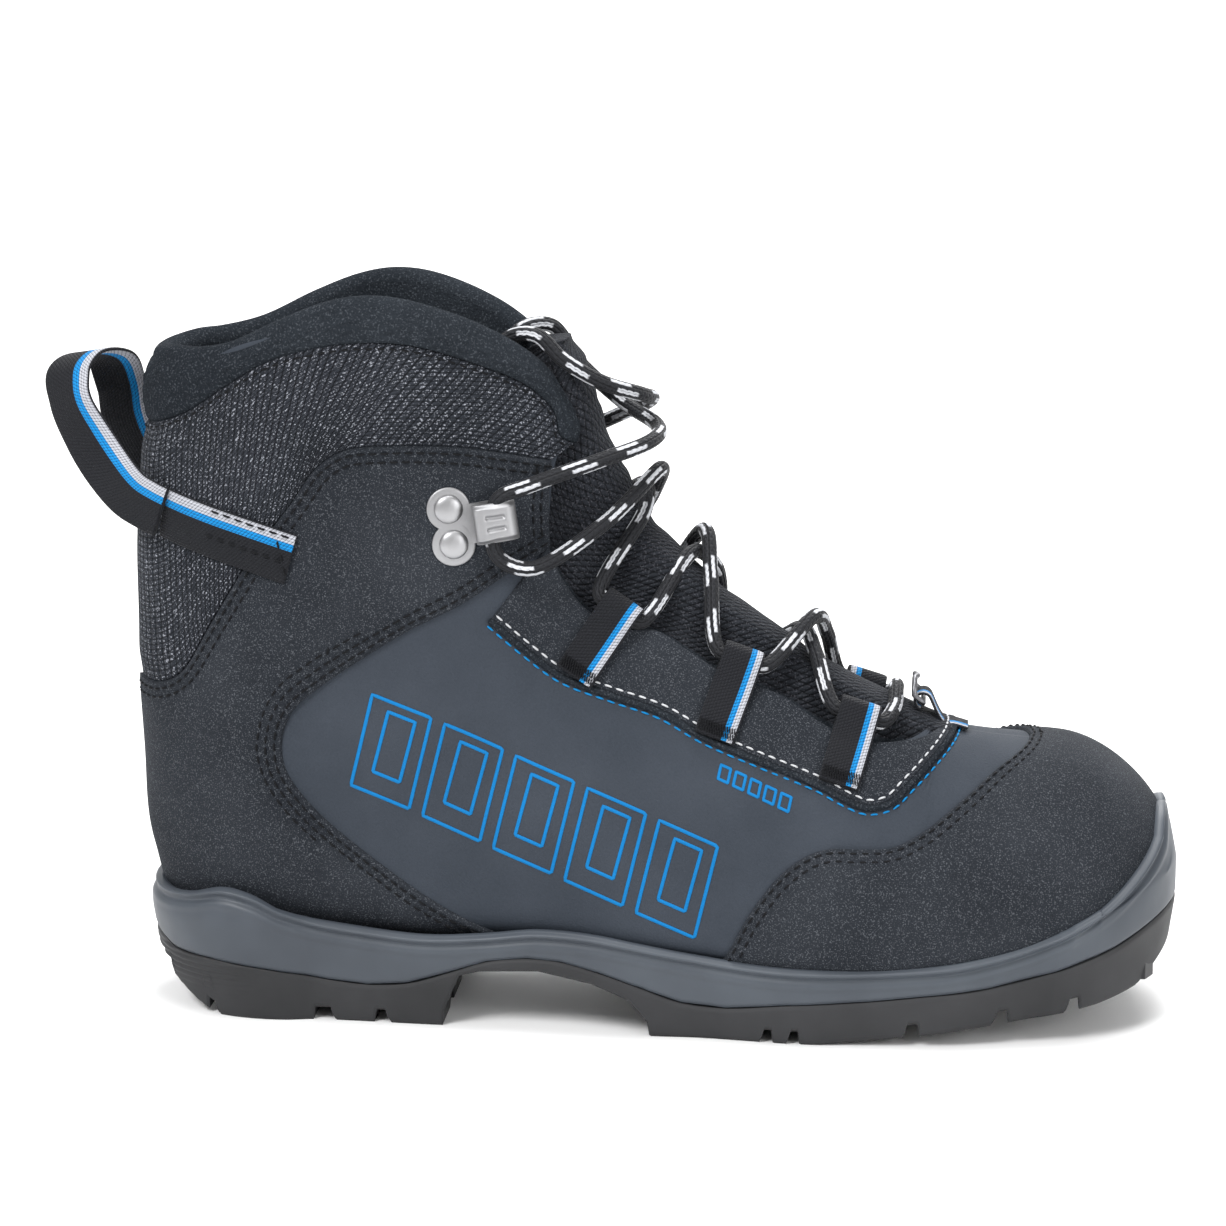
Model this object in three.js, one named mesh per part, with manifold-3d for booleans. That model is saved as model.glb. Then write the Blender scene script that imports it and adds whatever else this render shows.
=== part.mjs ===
// Cross-country ski boot, right foot, millimetres, +X toe, +Z up, -Y lateral side.
// The upper is one lofted surface; every panel is a layer of it, cut by a side-view outline.
import * as THREE from "three";
import { mergeVertices } from "three/addons/utils/BufferGeometryUtils.js";
import Module from "manifold-3d";

const wasm = await Module();
wasm.setup();

// ---------- driving sizes ----------
const GAP = 0.3; // air between touching pieces
const SHELL_T = 1.0; // softshell fabric
const STIFF_T = 1.2; // heel counter and toe puff
const LINING_T = 3.2; // insulated lining
const PANEL_T = 1.2; // overlays, toe cap, eyestay
const WEBBING_T = 1.1; // lace loops
const RAND_T = 3.6; // how far the rand stands off the upper
const COLLAR_T = 7.0; // padded collar, outside to inside
const COLLAR_PROUD = 1.0; // collar outside the shell surface
const TONGUE_T = 9.0;
const TONGUE_PROUD = 2.5; // tongue crown above the shell surface
const TONGUE_WING = 12.0; // tongue under each throat edge
const TONGUE_TOP = 193; // height of its top edge
const TOE_START_X = 116; // where the round toe begins
const TOE_LENGTH = 31.2; // round toe, ahead of TOE_START_X
const TOE_NOSE_Z = 46;
const INSOLE_T = 2.2;
const FOOTBED_T = 5.0;
const FOOTBED_CLEAR = 1.8; // footbed edge to lining
const LUG_DEPTH = 4.0;
const GUIDE_SPACING = 29; // two guide grooves, centre to centre
const GUIDE_WIDTH = 8;
const GUIDE_DEPTH = 6;
const BAR_D = 4.0; // steel toe bar of the binding interface
const BAR_LENGTH = 46;
const BAR_X = 134;
const BAR_Z = 20.5;
const BAR_SLOT_L = 13.6;
const BAR_SLOT_W = 34;
const LOOP_WIDTH = 12;
const LOOP_EYE_R = 3.3; // inside radius of the eye that holds the lace
const LACE_D = 4.4;
const STRAP_WIDTH = 15;
const STRAP_T = 1.6;
const HOOK_PLATE_T = 0.9;
const RIVET_R = 4.2;
const RING_WIRE_D = 1.9;

const LAYER = {
  shell: [-SHELL_T, 0],
  stiff: [-SHELL_T - GAP - STIFF_T, -SHELL_T - GAP],
  lining: [-SHELL_T - 2 * GAP - STIFF_T - LINING_T, -SHELL_T - 2 * GAP - STIFF_T],
  panel: [GAP, GAP + PANEL_T],
};
const INNER = LAYER.lining[0];
const PANEL_TOP = LAYER.panel[1];

// ---------- the upper as stations from the toe to the cuff ----------
// front: point on the top or front centre line; back: point on the bottom or back centre line
// half: half width; mid: centre line in Y; belly: where along front-back it is widest
// roundFront, roundBack: exponents of the two super-ellipse halves
const STATIONS = [
  { front: [116, 80], back: [116, 25.5], half: 44, mid: 4, belly: 0.8, roundFront: 2.2, roundBack: 3 },
  { front: [85, 84.5], back: [84, 19.5], half: 48.5, mid: 1.5, belly: 0.84, roundFront: 2.1, roundBack: 3 },
  { front: [55, 96], back: [49, 17.5], half: 48, mid: 0, belly: 0.86, roundFront: 2, roundBack: 3 },
  { front: [25, 115], back: [4, 19], half: 42.5, mid: -1.5, belly: 0.86, roundFront: 2, roundBack: 3 },
  { front: [-3, 139], back: [-60, 22], half: 37.5, mid: -1.5, belly: 0.8, roundFront: 2.1, roundBack: 3 },
  { front: [-11, 150], back: [-105, 22], half: 36, mid: 0, belly: 0.72, roundFront: 2.1, roundBack: 3 },
  { front: [-16, 160], back: [-142, 24], half: 35.5, mid: 0, belly: 0.62, roundFront: 2.1, roundBack: 2.7 },
  { front: [-20, 168], back: [-153.5, 46], half: 35, mid: 0, belly: 0.55, roundFront: 2.1, roundBack: 2.4 },
  { front: [-22.5, 175], back: [-156, 76], half: 34.5, mid: 0, belly: 0.52, roundFront: 2.1,
    roundBack: 2.3 },
  { front: [-26, 189], back: [-157, 130], half: 34, mid: 0, belly: 0.5, roundFront: 2.1, roundBack: 2.3 },
  { front: [-28, 203], back: [-153, 182], half: 36, mid: 0, belly: 0.5, roundFront: 2.1, roundBack: 2.3 },
  { front: [-29, 222], back: [-150, 220], half: 37, mid: 0, belly: 0.5, roundFront: 2.1, roundBack: 2.3 },
];
const LAST_U = STATIONS.length; // u runs 0 at the nose, 1 at the first station, up to here

const flat = (s) => [...s.front, ...s.back, s.half, s.mid, s.belly, s.roundFront, s.roundBack];
const ROWS = STATIONS.map(flat);

function splineRow(k) {
  // Catmull-Rom through the stations
  const last = ROWS.length - 1;
  const i = Math.min(Math.floor(k), last - 1);
  const f = k - i;
  const at = (j) => ROWS[Math.max(0, Math.min(last, j))];
  const [a, b, c, d] = [at(i - 1), at(i), at(i + 1), at(i + 2)];
  return b.map((_, n) => {
    const m0 = (c[n] - a[n]) / 2;
    const m1 = (d[n] - b[n]) / 2;
    const f2 = f * f;
    const f3 = f2 * f;
    return (2 * f3 - 3 * f2 + 1) * b[n] + (f3 - 2 * f2 + f) * m0
      + (3 * f2 - 2 * f3) * c[n] + (f3 - f2) * m1;
  });
}

function section(u) {
  if (u >= 1) return splineRow(Math.min(u - 1, ROWS.length - 1));
  // the round toe: every size shrinks along a quarter circle, keeping the slope it had
  const [a, b] = ROWS;
  const angle = (u * Math.PI) / 2;
  const k = Math.sin(angle);
  const ahead = TOE_LENGTH * Math.cos(angle);
  const x = TOE_START_X + ahead;
  const slope = (n) => (a[n] - b[n]) / (a[0] - b[0]);
  const top = TOE_NOSE_Z + (a[1] - TOE_NOSE_Z + slope(1) * ahead) * k;
  const bottom = TOE_NOSE_Z + (a[3] - TOE_NOSE_Z + slope(3) * ahead) * k;
  const half = (a[4] + slope(4) * ahead) * k;
  return [x, top, x, bottom, half, a[5] + slope(5) * ahead, a[6], a[7], a[8]];
}

// turn: 0 at the front centre line, a quarter at the lateral belly, a half at the back
function surface(u, turn) {
  const [fx, fz, bx, bz, half, mid, belly, nf, nb] = section(u);
  const c = Math.cos(turn * 2 * Math.PI);
  const s = Math.sin(turn * 2 * Math.PI);
  const n = c >= 0 ? nf : nb;
  const along = Math.pow(Math.abs(c), 2 / n);
  const t = c >= 0 ? belly * (1 - along) : belly + (1 - belly) * along;
  const y = mid - Math.sign(s) * half * Math.pow(Math.abs(s), 2 / n);
  return new THREE.Vector3(fx + (bx - fx) * t, y, fz + (bz - fz) * t);
}

function normal(u, turn) {
  const e = 1e-3;
  const u0 = Math.max(0.02, Math.min(LAST_U - e, u));
  const du = surface(u0 + e, turn).sub(surface(u0 - e, turn));
  const dv = surface(u0, turn + e).sub(surface(u0, turn - e));
  return du.cross(dv).normalize();
}

const skin = (u, turn, off) => surface(u, turn).addScaledVector(normal(u, turn), off);

// ---------- solids ----------
function solidOf(geometry) {
  const bare = geometry.clone();
  bare.deleteAttribute("normal");
  bare.deleteAttribute("uv");
  const merged = mergeVertices(bare, 1e-4);
  return new wasm.Manifold(new wasm.Mesh({
    numProp: 3,
    vertProperties: merged.attributes.position.array,
    triVerts: new Uint32Array(merged.index.array),
  }));
}

function closedMesh(points, faces) {
  const g = new THREE.BufferGeometry();
  g.setAttribute("position", new THREE.Float32BufferAttribute(points.flatMap((p) => [p.x, p.y, p.z]), 3));
  g.setIndex(faces.flat());
  return g;
}

const TOE_STEPS = 5;
const ROUND_STEPS = 20;
const FINE_STATIONS = 7; // up to here two sections per station, then one
const U_LIST = [
  ...Array.from({ length: TOE_STEPS }, (_, i) => (i + 1) / (TOE_STEPS + 1)),
  ...Array.from({ length: 2 * (FINE_STATIONS - 1) }, (_, i) => 1 + i / 2),
  ...Array.from({ length: LAST_U - FINE_STATIONS + 1 }, (_, i) => FINE_STATIONS + i),
];

// the whole upper as a closed solid, its skin moved out by off
function upperSolid(off) {
  const points = [skin(0.02, 0, off).setY(section(0)[5])];
  points[0].set(TOE_START_X + TOE_LENGTH + off, section(0)[5], TOE_NOSE_Z);
  for (const u of U_LIST)
    for (let j = 0; j < ROUND_STEPS; j++) points.push(skin(u, j / ROUND_STEPS, off));
  const top = new THREE.Vector3();
  for (let j = 0; j < ROUND_STEPS; j++) top.add(points[points.length - ROUND_STEPS + j]);
  top.divideScalar(ROUND_STEPS);
  points.push(top);
  const faces = [];
  const at = (i, j) => 1 + i * ROUND_STEPS + (j % ROUND_STEPS);
  const rows = U_LIST.length;
  for (let j = 0; j < ROUND_STEPS; j++) {
    faces.push([0, at(0, j), at(0, j + 1)]);
    for (let i = 0; i < rows - 1; i++) {
      faces.push([at(i, j), at(i + 1, j + 1), at(i, j + 1)]);
      faces.push([at(i, j), at(i + 1, j), at(i + 1, j + 1)]);
    }
    faces.push([at(rows - 1, j + 1), at(rows - 1, j), points.length - 1]);
  }
  return solidOf(closedMesh(points, faces));
}

const upperCache = new Map();
function upper(off) {
  const key = off.toFixed(3);
  if (!upperCache.has(key)) upperCache.set(key, upperSolid(off));
  return upperCache.get(key);
}
const layer = ([inner, outer]) => upper(outer).subtract(upper(inner));

// side-view outline (X, Z) extruded across the boot
function prism(outline, y0 = -90, y1 = 90) {
  const shape = outline.isShape ? outline : new THREE.Shape(outline.map(([x, z]) => new THREE.Vector2(x,
    z)));
  const g = new THREE.ExtrudeGeometry(shape, { depth: y1 - y0, bevelEnabled: false, curveSegments: 6 });
  g.rotateX(Math.PI / 2);
  g.translate(0, y1, 0);
  return solidOf(g);
}

// a smooth line through side-view points, sampled every part of a span
function smooth(points, parts = 3) {
  const curve = new THREE.CatmullRomCurve3(points.map(([x, z]) => new THREE.Vector3(x, 0, z)), false,
    "centripetal");
  return curve.getPoints(parts * (points.length - 1)).map((p) => [p.x, p.z]);
}
const shift = (points, dx, dz) => points.map(([x, z]) => [x + dx, z + dz]);

const box = (x0, y0, z0, x1, y1, z1) => {
  const g = new THREE.BoxGeometry(x1 - x0, y1 - y0, z1 - z0);
  g.translate((x0 + x1) / 2, (y0 + y1) / 2, (z0 + z1) / 2);
  return solidOf(g);
};

// ---------- side-view lines of the panels, (X, Z) ----------
const THROAT = smooth([[79, 88], [70, 84.5], [60, 85], [51, 88], [43, 92], [33, 98.5], [20, 103.5], [6,
  112],
  [-2, 117], [-12, 118.5], [-22, 123], [-29, 131], [-33.5, 141], [-33.5, 154], [-32, 166], [-27, 178]], 2);
// closes an outline out over the instep
const THROAT_REACH = [[-10, 260], [60, 200], [140, 120], [100, 100]];
const EYESTAY_EDGE = smooth([[-58, 127], [-46, 117], [-29, 105], [-15, 100], [0, 95], [13, 88], [29, 81.5],
  [46, 75], [54, 71], [60, 69], [66, 70], [71, 74], [77, 79], [84, 87]], 2);
const OVERLAY_TOP = smooth([[-175, 97], [-150, 97.5], [-142, 101], [-132, 118], [-119, 139], [-107, 155],
  [-100, 165], [-92, 170.5], [-80, 172], [-60, 171.5], [-46, 169], [-33, 166]], 2);
const OVERLAY_LOW = smooth([[-33, 141], [-45, 134], [-58, 125.5], [-73, 118], [-86, 110], [-99, 101],
  [-107, 94],
  [-110.5, 86], [-110, 77], [-105, 69], [-94, 58], [-77, 45], [-63, 36], [-48, 28], [-30, 22]], 2);
const TOE_CAP_EDGE = smooth([[12, 14], [19, 25], [26, 38], [34, 49], [42, 55.5], [49, 58], [58, 58], [67,
  58.5],
  [75, 62], [88, 71], [96, 77], [107, 86], [112, 92]], 2);
const COLLAR_LOW = smooth([[-175, 173], [-153, 174], [-138, 180], [-127, 187.5], [-113, 196], [-98, 200.5],
  [-84, 202], [-71, 201], [-53, 195], [-40, 188], [-32.5, 180], [-31, 172], [-20, 160], [200, 150]], 2);
const COLLAR_TOP = smooth([[-175, 188], [-156, 192], [-148, 195], [-138, 195], [-126, 197], [-110, 204],
  [-97, 209],
  [-87, 211], [-76, 210.5], [-60, 206], [-47, 200], [-35, 190.5], [-27, 179], [-20, 168]], 2);
const RAND_TOP = smooth([[-175, 38], [-152, 36.5], [-143, 37.5], [-132, 40], [-123, 38.5], [-113, 34.5],
  [-102, 31.5], [-88, 29.5], [-70, 28], [-52, 29], [-36, 31], [-21, 30.5], [-5, 28], [10, 25.5], [28, 23.5],
  [50, 23], [71, 24], [89, 26], [106, 30], [119, 35.5], [132, 44.5], [140, 54], [144, 62], [160, 66]], 2);
const RAND_LOW = smooth([[-175, 24], [-155, 21.5], [-148, 18.5], [-136, 18], [-118, 16], [-100, 13],
  [-88, 12],
  [-76, 13], [-63, 17], [-51, 21], [-39, 22.5], [-29, 22], [-17, 19], [-5, 15], [7, 11], [20, 10], [38, 12],
  [63, 14], [80, 16], [97, 18], [115, 22], [133, 28], [146, 34], [160, 37]], 2);
// the walking face, heel and forefoot flat on the ground, arch and toe raised
const TREAD = [[-160, 14], [-150, 8], [-143, 3], [-137, 0], [-66, 0], [-60, 12], [-54, 13.5], [-36, 14.5],
  [-20, 11.5], [-9, 7], [-3, 0], [48, 0], [80, 3.5], [105, 7], [130, 10.5], [142, 13], [149, 19], [156,
    28]];
const LUG_GAPS = [ // notch centre, width
  [-137.5, 3], [-103, 6], [-85, 4], [33, 3], [41, 3], [76, 4], [102, 4], [123, 3.5]];
const SOLE_HEEL_X = -116; // where the round heel begins
const SOLE_HEEL_R = 41;
const SOLE_HEEL_HALF = 36;

const above = (line, far = 300) => prism([...line, [line.at(-1)[0], far], [line[0][0], far]].reverse());
const under = (line, far = -60) => prism([...line, [line.at(-1)[0], far], [line[0][0], far]]);
const throatOutline = (dx, dz) => prism([...shift(THROAT, dx, dz), ...THROAT_REACH]);
const throatWide = throatOutline(-GAP, -GAP);

// ---------- plan outline of the sole ----------
function soleHalf(x) {
  if (x > TOE_START_X) {
    const k = (x - TOE_START_X) / (TOE_LENGTH + RAND_T);
    return (ROWS[0][4] + RAND_T) * Math.sqrt(Math.max(0, 1 - k * k)) + 0.16 * (TOE_START_X - x) * (1 - k);
  }
  if (x < SOLE_HEEL_X) {
    const k = (SOLE_HEEL_X - x) / SOLE_HEEL_R;
    return (SOLE_HEEL_HALF + RAND_T - 1) * Math.pow(Math.max(0, 1 - Math.pow(k, 2.2)), 1 / 2.2);
  }
  const points = STATIONS.slice(0, 6).map((s) => [s.back[0], s.half + RAND_T]);
  points[0][0] = TOE_START_X;
  const rows = [...points, [SOLE_HEEL_X, SOLE_HEEL_HALF + RAND_T - 1]];
  const i = rows.findIndex((p, n) => n < rows.length - 1 && x <= p[0] && x >= rows[n + 1][0]);
  const f = (x - rows[i][0]) / (rows[i + 1][0] - rows[i][0]);
  const s = f * f * (3 - 2 * f);
  return rows[i][1] + (rows[i + 1][1] - rows[i][1]) * s;
}
function soleMid(x) {
  const slope = (STATIONS[0].mid - STATIONS[1].mid) / (STATIONS[0].front[0] - STATIONS[1].front[0]);
  if (x > TOE_START_X) return STATIONS[0].mid + (x - TOE_START_X) * slope;
  const rows = [...STATIONS.slice(0, 6).map((s) => [s.back[0], s.mid]), [-400, 0]];
  const i = rows.findIndex((p, n) => n < rows.length - 1 && x <= p[0] && x >= rows[n + 1][0]);
  const f = (x - rows[i][0]) / (rows[i + 1][0] - rows[i][0]);
  return rows[i][1] + (rows[i + 1][1] - rows[i][1]) * f;
}
const TOE_TIP_X = TOE_START_X + TOE_LENGTH + RAND_T;
const HEEL_TIP_X = SOLE_HEEL_X - SOLE_HEEL_R;
function soleOutline(inset) {
  const mid = (TOE_TIP_X + HEEL_TIP_X) / 2;
  const reach = (TOE_TIP_X - HEEL_TIP_X) / 2;
  const sides = [[], []];
  const steps = 30;
  for (let i = 1; i < steps; i++) {
    const c = Math.cos((Math.PI * i) / steps);
    const x = mid + reach * c;
    const half = soleHalf(x) - inset;
    const xi = mid + (reach - inset) * c;
    sides[0].push([xi, soleMid(x) - half]);
    sides[1].unshift([xi, soleMid(x) + half]);
  }
  return [[TOE_TIP_X - inset, soleMid(TOE_TIP_X)], ...sides[0], [HEEL_TIP_X + inset, 0], ...sides[1]];
}
function soleBlock(z0, z1, inset0, inset1) {
  const low = soleOutline(inset0).map(([x, y]) => new THREE.Vector3(x, y, z0));
  const high = soleOutline(inset1).map(([x, y]) => new THREE.Vector3(x, y, z1));
  const n = low.length;
  const points = [...low, ...high, new THREE.Vector3(0, 0, z0), new THREE.Vector3(0, 0, z1)];
  const faces = [];
  for (let i = 0; i < n; i++) {
    const j = (i + 1) % n;
    faces.push([i, n + j, j], [i, n + i, n + j], [j, 2 * n, i], [n + i, 2 * n + 1, n + j]);
  }
  return solidOf(closedMesh(points, faces));
}

// ---------- building ----------
const boot = new THREE.Group();
const LOOK = {
  rubber: { color: 0x3c3c3e, roughness: 0.75, metalness: 0 },
  rand: { color: 0x555b62, roughness: 0.35, metalness: 0 },
  shell: { color: 0x2b2e33, roughness: 0.9, metalness: 0 },
  panel: { color: 0x26282c, roughness: 0.95, metalness: 0 },
  knit: { color: 0x2a2c30, roughness: 1, metalness: 0 },
  fleece: { color: 0x1e2024, roughness: 1, metalness: 0 },
  board: { color: 0xb9ad97, roughness: 0.9, metalness: 0 },
  stiff: { color: 0xd8d2c4, roughness: 0.6, metalness: 0 },
  steel: { color: 0xb8babd, roughness: 0.3, metalness: 1 },
  blue: { color: 0x1491d7, roughness: 0.8, metalness: 0 },
  plastic: { color: 0x1a1b1d, roughness: 0.5, metalness: 0 },
};
// a cut can leave a sliver of almost no volume beside the piece
function largest(solid) {
  return solid.decompose().sort((a, b) => b.volume() - a.volume())[0];
}
function add(name, solid, look) {
  const m = largest(solid).getMesh();
  const g = new THREE.BufferGeometry();
  g.setAttribute("position", new THREE.BufferAttribute(new Float32Array(m.vertProperties), m.numProp));
  g.setIndex(new THREE.BufferAttribute(new Uint32Array(m.triVerts), 1));
  const mesh = new THREE.Mesh(g, new THREE.MeshStandardMaterial(LOOK[look]));
  mesh.name = name;
  boot.add(mesh);
}

// sole: rubber tread under a cup-shaped rand
const treadLimit = above(TREAD);
const gaps = LUG_GAPS.map(([x, w]) => {
  const z = treadAt(x);
  return box(x - w / 2, -90, z - 5, x + w / 2, 90, z + LUG_DEPTH);
});
function treadAt(x) {
  const i = TREAD.findIndex((p, n) => n < TREAD.length - 1 && x >= p[0] && x <= TREAD[n + 1][0]);
  const f = (x - TREAD[i][0]) / (TREAD[i + 1][0] - TREAD[i][0]);
  return TREAD[i][1] + f * (TREAD[i + 1][1] - TREAD[i][1]);
}
const guides = [-1, 1].map((side) => {
  const y = (side * GUIDE_SPACING) / 2;
  const line = TREAD.map(([x, z]) => [x, z + GUIDE_DEPTH]).filter(([x]) => x < BAR_X - 12);
  return prism([...line, [BAR_X - 12, -30], [-200, -30]], y - GUIDE_WIDTH / 2, y + GUIDE_WIDTH / 2);
});
const slotMid = soleMid(BAR_X);
const barSlot = box(BAR_X - BAR_SLOT_L / 2, slotMid - BAR_SLOT_W / 2, -20,
  BAR_X + BAR_SLOT_L / 2, slotMid + BAR_SLOT_W / 2, BAR_Z + BAR_D / 2 + 1.6);
const barY0 = slotMid - BAR_LENGTH / 2;
const barY1 = slotMid + BAR_LENGTH / 2;
const barBody = (extra) => {
  const g = new THREE.CylinderGeometry(BAR_D / 2 + extra, BAR_D / 2 + extra, BAR_LENGTH + 2 * extra, 20);
  g.translate(BAR_X, slotMid, BAR_Z);
  return solidOf(g);
};
// the bar's carrier keeps inside the sole's outline at the round toe
const INSERT_SET_IN = 2;
const insertBody = (extra) => box(BAR_X - BAR_SLOT_L / 2 - 3 - extra, barY0 - 3 - extra, BAR_Z - 6 - extra,
  BAR_X + BAR_SLOT_L / 2 + 3 + extra, barY1 + 3 + extra, BAR_Z + BAR_D / 2 + 2.8 + extra)
  .intersect(soleBlock(-10, 34, INSERT_SET_IN - extra, INSERT_SET_IN - extra));

const soleBlank = soleBlock(-2, 34, 5, 0);
let outsole = soleBlank.intersect(treadLimit).intersect(under(shift(RAND_LOW, 0, -GAP)));
for (const cut of [...gaps, ...guides, barSlot, insertBody(GAP),
  upper(GAP)]) outsole = outsole.subtract(cut);
add("outsole", outsole, "rubber");

const cup = upper(RAND_T).intersect(above([[-300, 24], [300, 24]])).add(soleBlank);
let rand = cup.intersect(under(RAND_TOP)).intersect(above(RAND_LOW));
rand = rand.subtract(upper(GAP)).subtract(insertBody(GAP)).subtract(barSlot);

add("midsole_rand", rand, "rand");
add("toe_bar_insert", insertBody(0).subtract(barSlot).subtract(barBody(GAP / 2)), "plastic");
add("toe_bar", barBody(0), "steel");

// upper layers
const belowCollar = under(shift(COLLAR_LOW, 0, -GAP));
const kneeLine = [...shift(OVERLAY_TOP, 2, -9), [220, 155]]; // the shell ends here, the knit goes on up
add("vamp_shell", layer(LAYER.shell).subtract(throatWide).intersect(under(kneeLine))
  .intersect(belowCollar), "shell");
add("ankle_knit_panel", layer(LAYER.shell).subtract(throatWide).intersect(above(shift(kneeLine, 0, GAP)))
  .intersect(belowCollar), "knit");

// stiffeners between shell and lining
const liningTop = under(shift(COLLAR_LOW, 0, -GAP));
add("heel_counter", layer(LAYER.stiff).intersect(prism([[-190, 20], [-78, 20], [-92, 60], [-120, 84],
  [-190, 90]])), "stiff");
add("toe_puff", layer(LAYER.stiff).intersect(prism([[82, 34], [190, 34], [190, 110], [104, 110], [92,
  60]])), "stiff");
add("lining_bootie", layer(LAYER.lining).subtract(throatWide).intersect(liningTop), "fleece");

// overlays on the shell, clear of the rand
const randTopClear = above(shift(RAND_TOP, 0, GAP));
const onShell = layer(LAYER.panel).intersect(randTopClear);
const heelOutline = prism([...OVERLAY_TOP, ...OVERLAY_LOW, [-175, 10]].reverse());
const heelOutlineWide = prism([...shift(OVERLAY_TOP, GAP, GAP), ...shift(OVERLAY_LOW, GAP, -GAP), [-185,
  5]].reverse());
const heelOverlay = onShell.intersect(heelOutline).subtract(throatWide);
const toeOutline = prism([...TOE_CAP_EDGE, [190, 120], [190, 5], [12, 5]]);
const toeOutlineWide = prism([...shift(TOE_CAP_EDGE, -GAP, GAP), [190, 120], [190, 5], [12, 5]]);
add("toe_cap", onShell.intersect(toeOutline), "panel");
const eyestayOutline = prism([...EYESTAY_EDGE, [130, 160], [-30, 141.3], [-58, 141.3]]);
add("eyestay", onShell.intersect(eyestayOutline).subtract(heelOutlineWide).subtract(toeOutlineWide)
  .subtract(throatWide), "panel");

// the lace: one cord, from the aglet inside the shaft, down the eyes, across the vamp and up the other side
const LACE_HALF_A = [ // lateral eye 3, medial eye 2, lateral eye 1, medial hook
  [66.5, -13, 92.5], [63, -20, 90.2], [56.3, -21, 92.7], [49.6, -21, 94.9], [43.5, -9, 108], [39.5, 2, 113],
  [29.1, 18.5, 106.4], [22.5, 20, 108.8], [15.9, 19, 111.4], [13, 8, 130], [7, -3, 136.5], [-7, -26, 120],
  [-12.8, -26.7, 123.6], [-18.6, -24.8, 127.8], [-7, -8, 149.5], [-7.5, 3, 155.5], [-20, 24, 146], [-38,
    36, 137]];
const LACE_HALF_B = [ // medial eye 3, lateral eye 2, medial eye 1, lateral hook
  [66.5, 13, 92.5], [63.6, 21, 90], [57, 20.8, 92.3], [50.3, 20.6, 94.6], [46, 9, 110.5], [43, -3, 118],
  [28.9, -21.5, 106.6], [22.3, -23, 108.8], [15.7, -22.4, 111.4], [12.5, -9, 131.5], [10, 3, 142], [-7,
    23, 120.2],
  [-12.8, 23.8, 123.7], [-18.6, 22.6, 128], [-5.5, 7, 152.5], [-2.5, -4, 161.5], [-18, -24, 148], [-38,
    -35.5, 137]];
const LACE_TOP_A = [ // round the medial hook, over the tongue, into the shaft
  [-47, 35.8, 140.5], [-49, 34.5, 148.5], [-47, 34.6, 157], [-38, 33.5, 162], [-20, 27, 171], [-7, 13, 179],
  [-8, -3, 183], [-19, -13, 188], [-30, -17, 195], [-38, -16, 202], [-47, -13, 200], [-53, -11, 189],
    [-56, -10, 170]];
const LACE_TOP_B = [ // round the lateral hook, over the tongue, into the shaft
  [-47, -35.8, 140.5], [-49, -34.5, 148.5], [-47, -34.6, 157], [-38, -33.5, 161], [-20, -28, 167],
  [-5, -14, 171], [-4, 2, 173], [-16, 17, 178], [-29, 20, 189], [-37, 18.5, 200], [-46, 14, 199], [-52,
    11.5, 186],
  [-55, 10.5, 168]];
const LACE = [...LACE_TOP_A.toReversed(), ...LACE_HALF_A.toReversed(), [67, 0, 96.5], ...LACE_HALF_B,
  ...LACE_TOP_B];
const laceCurve = new THREE.CatmullRomCurve3(LACE.map((p) => new THREE.Vector3(...p)), false,
  "centripetal");
const laceTube = (radius) => solidOf(new THREE.ExtrudeGeometry(
  new THREE.Shape().absarc(0, 0, radius, 0, Math.PI * 2, false),
  { steps: 84, curveSegments: 4, bevelEnabled: false, extrudePath: laceCurve }));
const laceSpace = laceTube(LACE_D / 2 + GAP + 0.2);
add("lace", laceTube(LACE_D / 2), "plastic");

// padded collar and tongue
const collarBlank = upper(COLLAR_PROUD).subtract(upper(COLLAR_PROUD - COLLAR_T));
add("collar", collarBlank.intersect(above(COLLAR_LOW)).intersect(under(COLLAR_TOP)).subtract(throatWide),
  "fleece");
// the tongue's crown stands proud between the loops and steps down beside them
const TONGUE_STEPS = [[TONGUE_PROUD, 10], [-1, 14], [INNER + 1, 90]]; // above the shell surface, half width
const tongueCore = upper(INNER - TONGUE_T * 0.6);
const tongueOut = TONGUE_STEPS.map(([off, half]) => upper(off).intersect(box(-200, -half, 0, 200, half,
  300)))
  .reduce((a, b) => a.add(b)).intersect(throatOutline(2 * GAP, 2 * GAP));
const tongueIn = upper(INNER - GAP).intersect(throatOutline(-TONGUE_WING * 0.7, -TONGUE_WING * 0.7));
const tongueZone = prism([[70, 40], [70, 190], [0, 190], [-30, TONGUE_TOP], [-120, TONGUE_TOP], [-120,
  40]]);
const collarSpace = upper(COLLAR_PROUD + GAP).subtract(upper(COLLAR_PROUD - COLLAR_T - GAP))
  .intersect(above(shift(COLLAR_LOW, 0, -GAP))).subtract(throatOutline(GAP, GAP));
add("tongue", tongueOut.add(tongueIn).subtract(tongueCore).intersect(tongueZone).subtract(collarSpace)
  .subtract(laceSpace), "fleece");

// under the foot
const inside = upper(INNER - GAP);
const boardLine = [[-170, 27], [-140, 27.5], [-60, 27], [-20, 26], [10, 25], [50, 24], [85, 25.5], [116,
  31], [150, 46]];
const footLine = shift(boardLine, 0, INSOLE_T + GAP);
add("insole_board", inside.intersect(under(shift(boardLine, 0, INSOLE_T))), "board");
const footbed = upper(INNER - FOOTBED_CLEAR).intersect(above(footLine)).intersect(under(shift(footLine,
  0, FOOTBED_T)))
  .intersect(prism([[-200, 0], [128, 0], [128, 100], [-200, 100]]));
add("footbed", footbed, "fleece");

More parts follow.
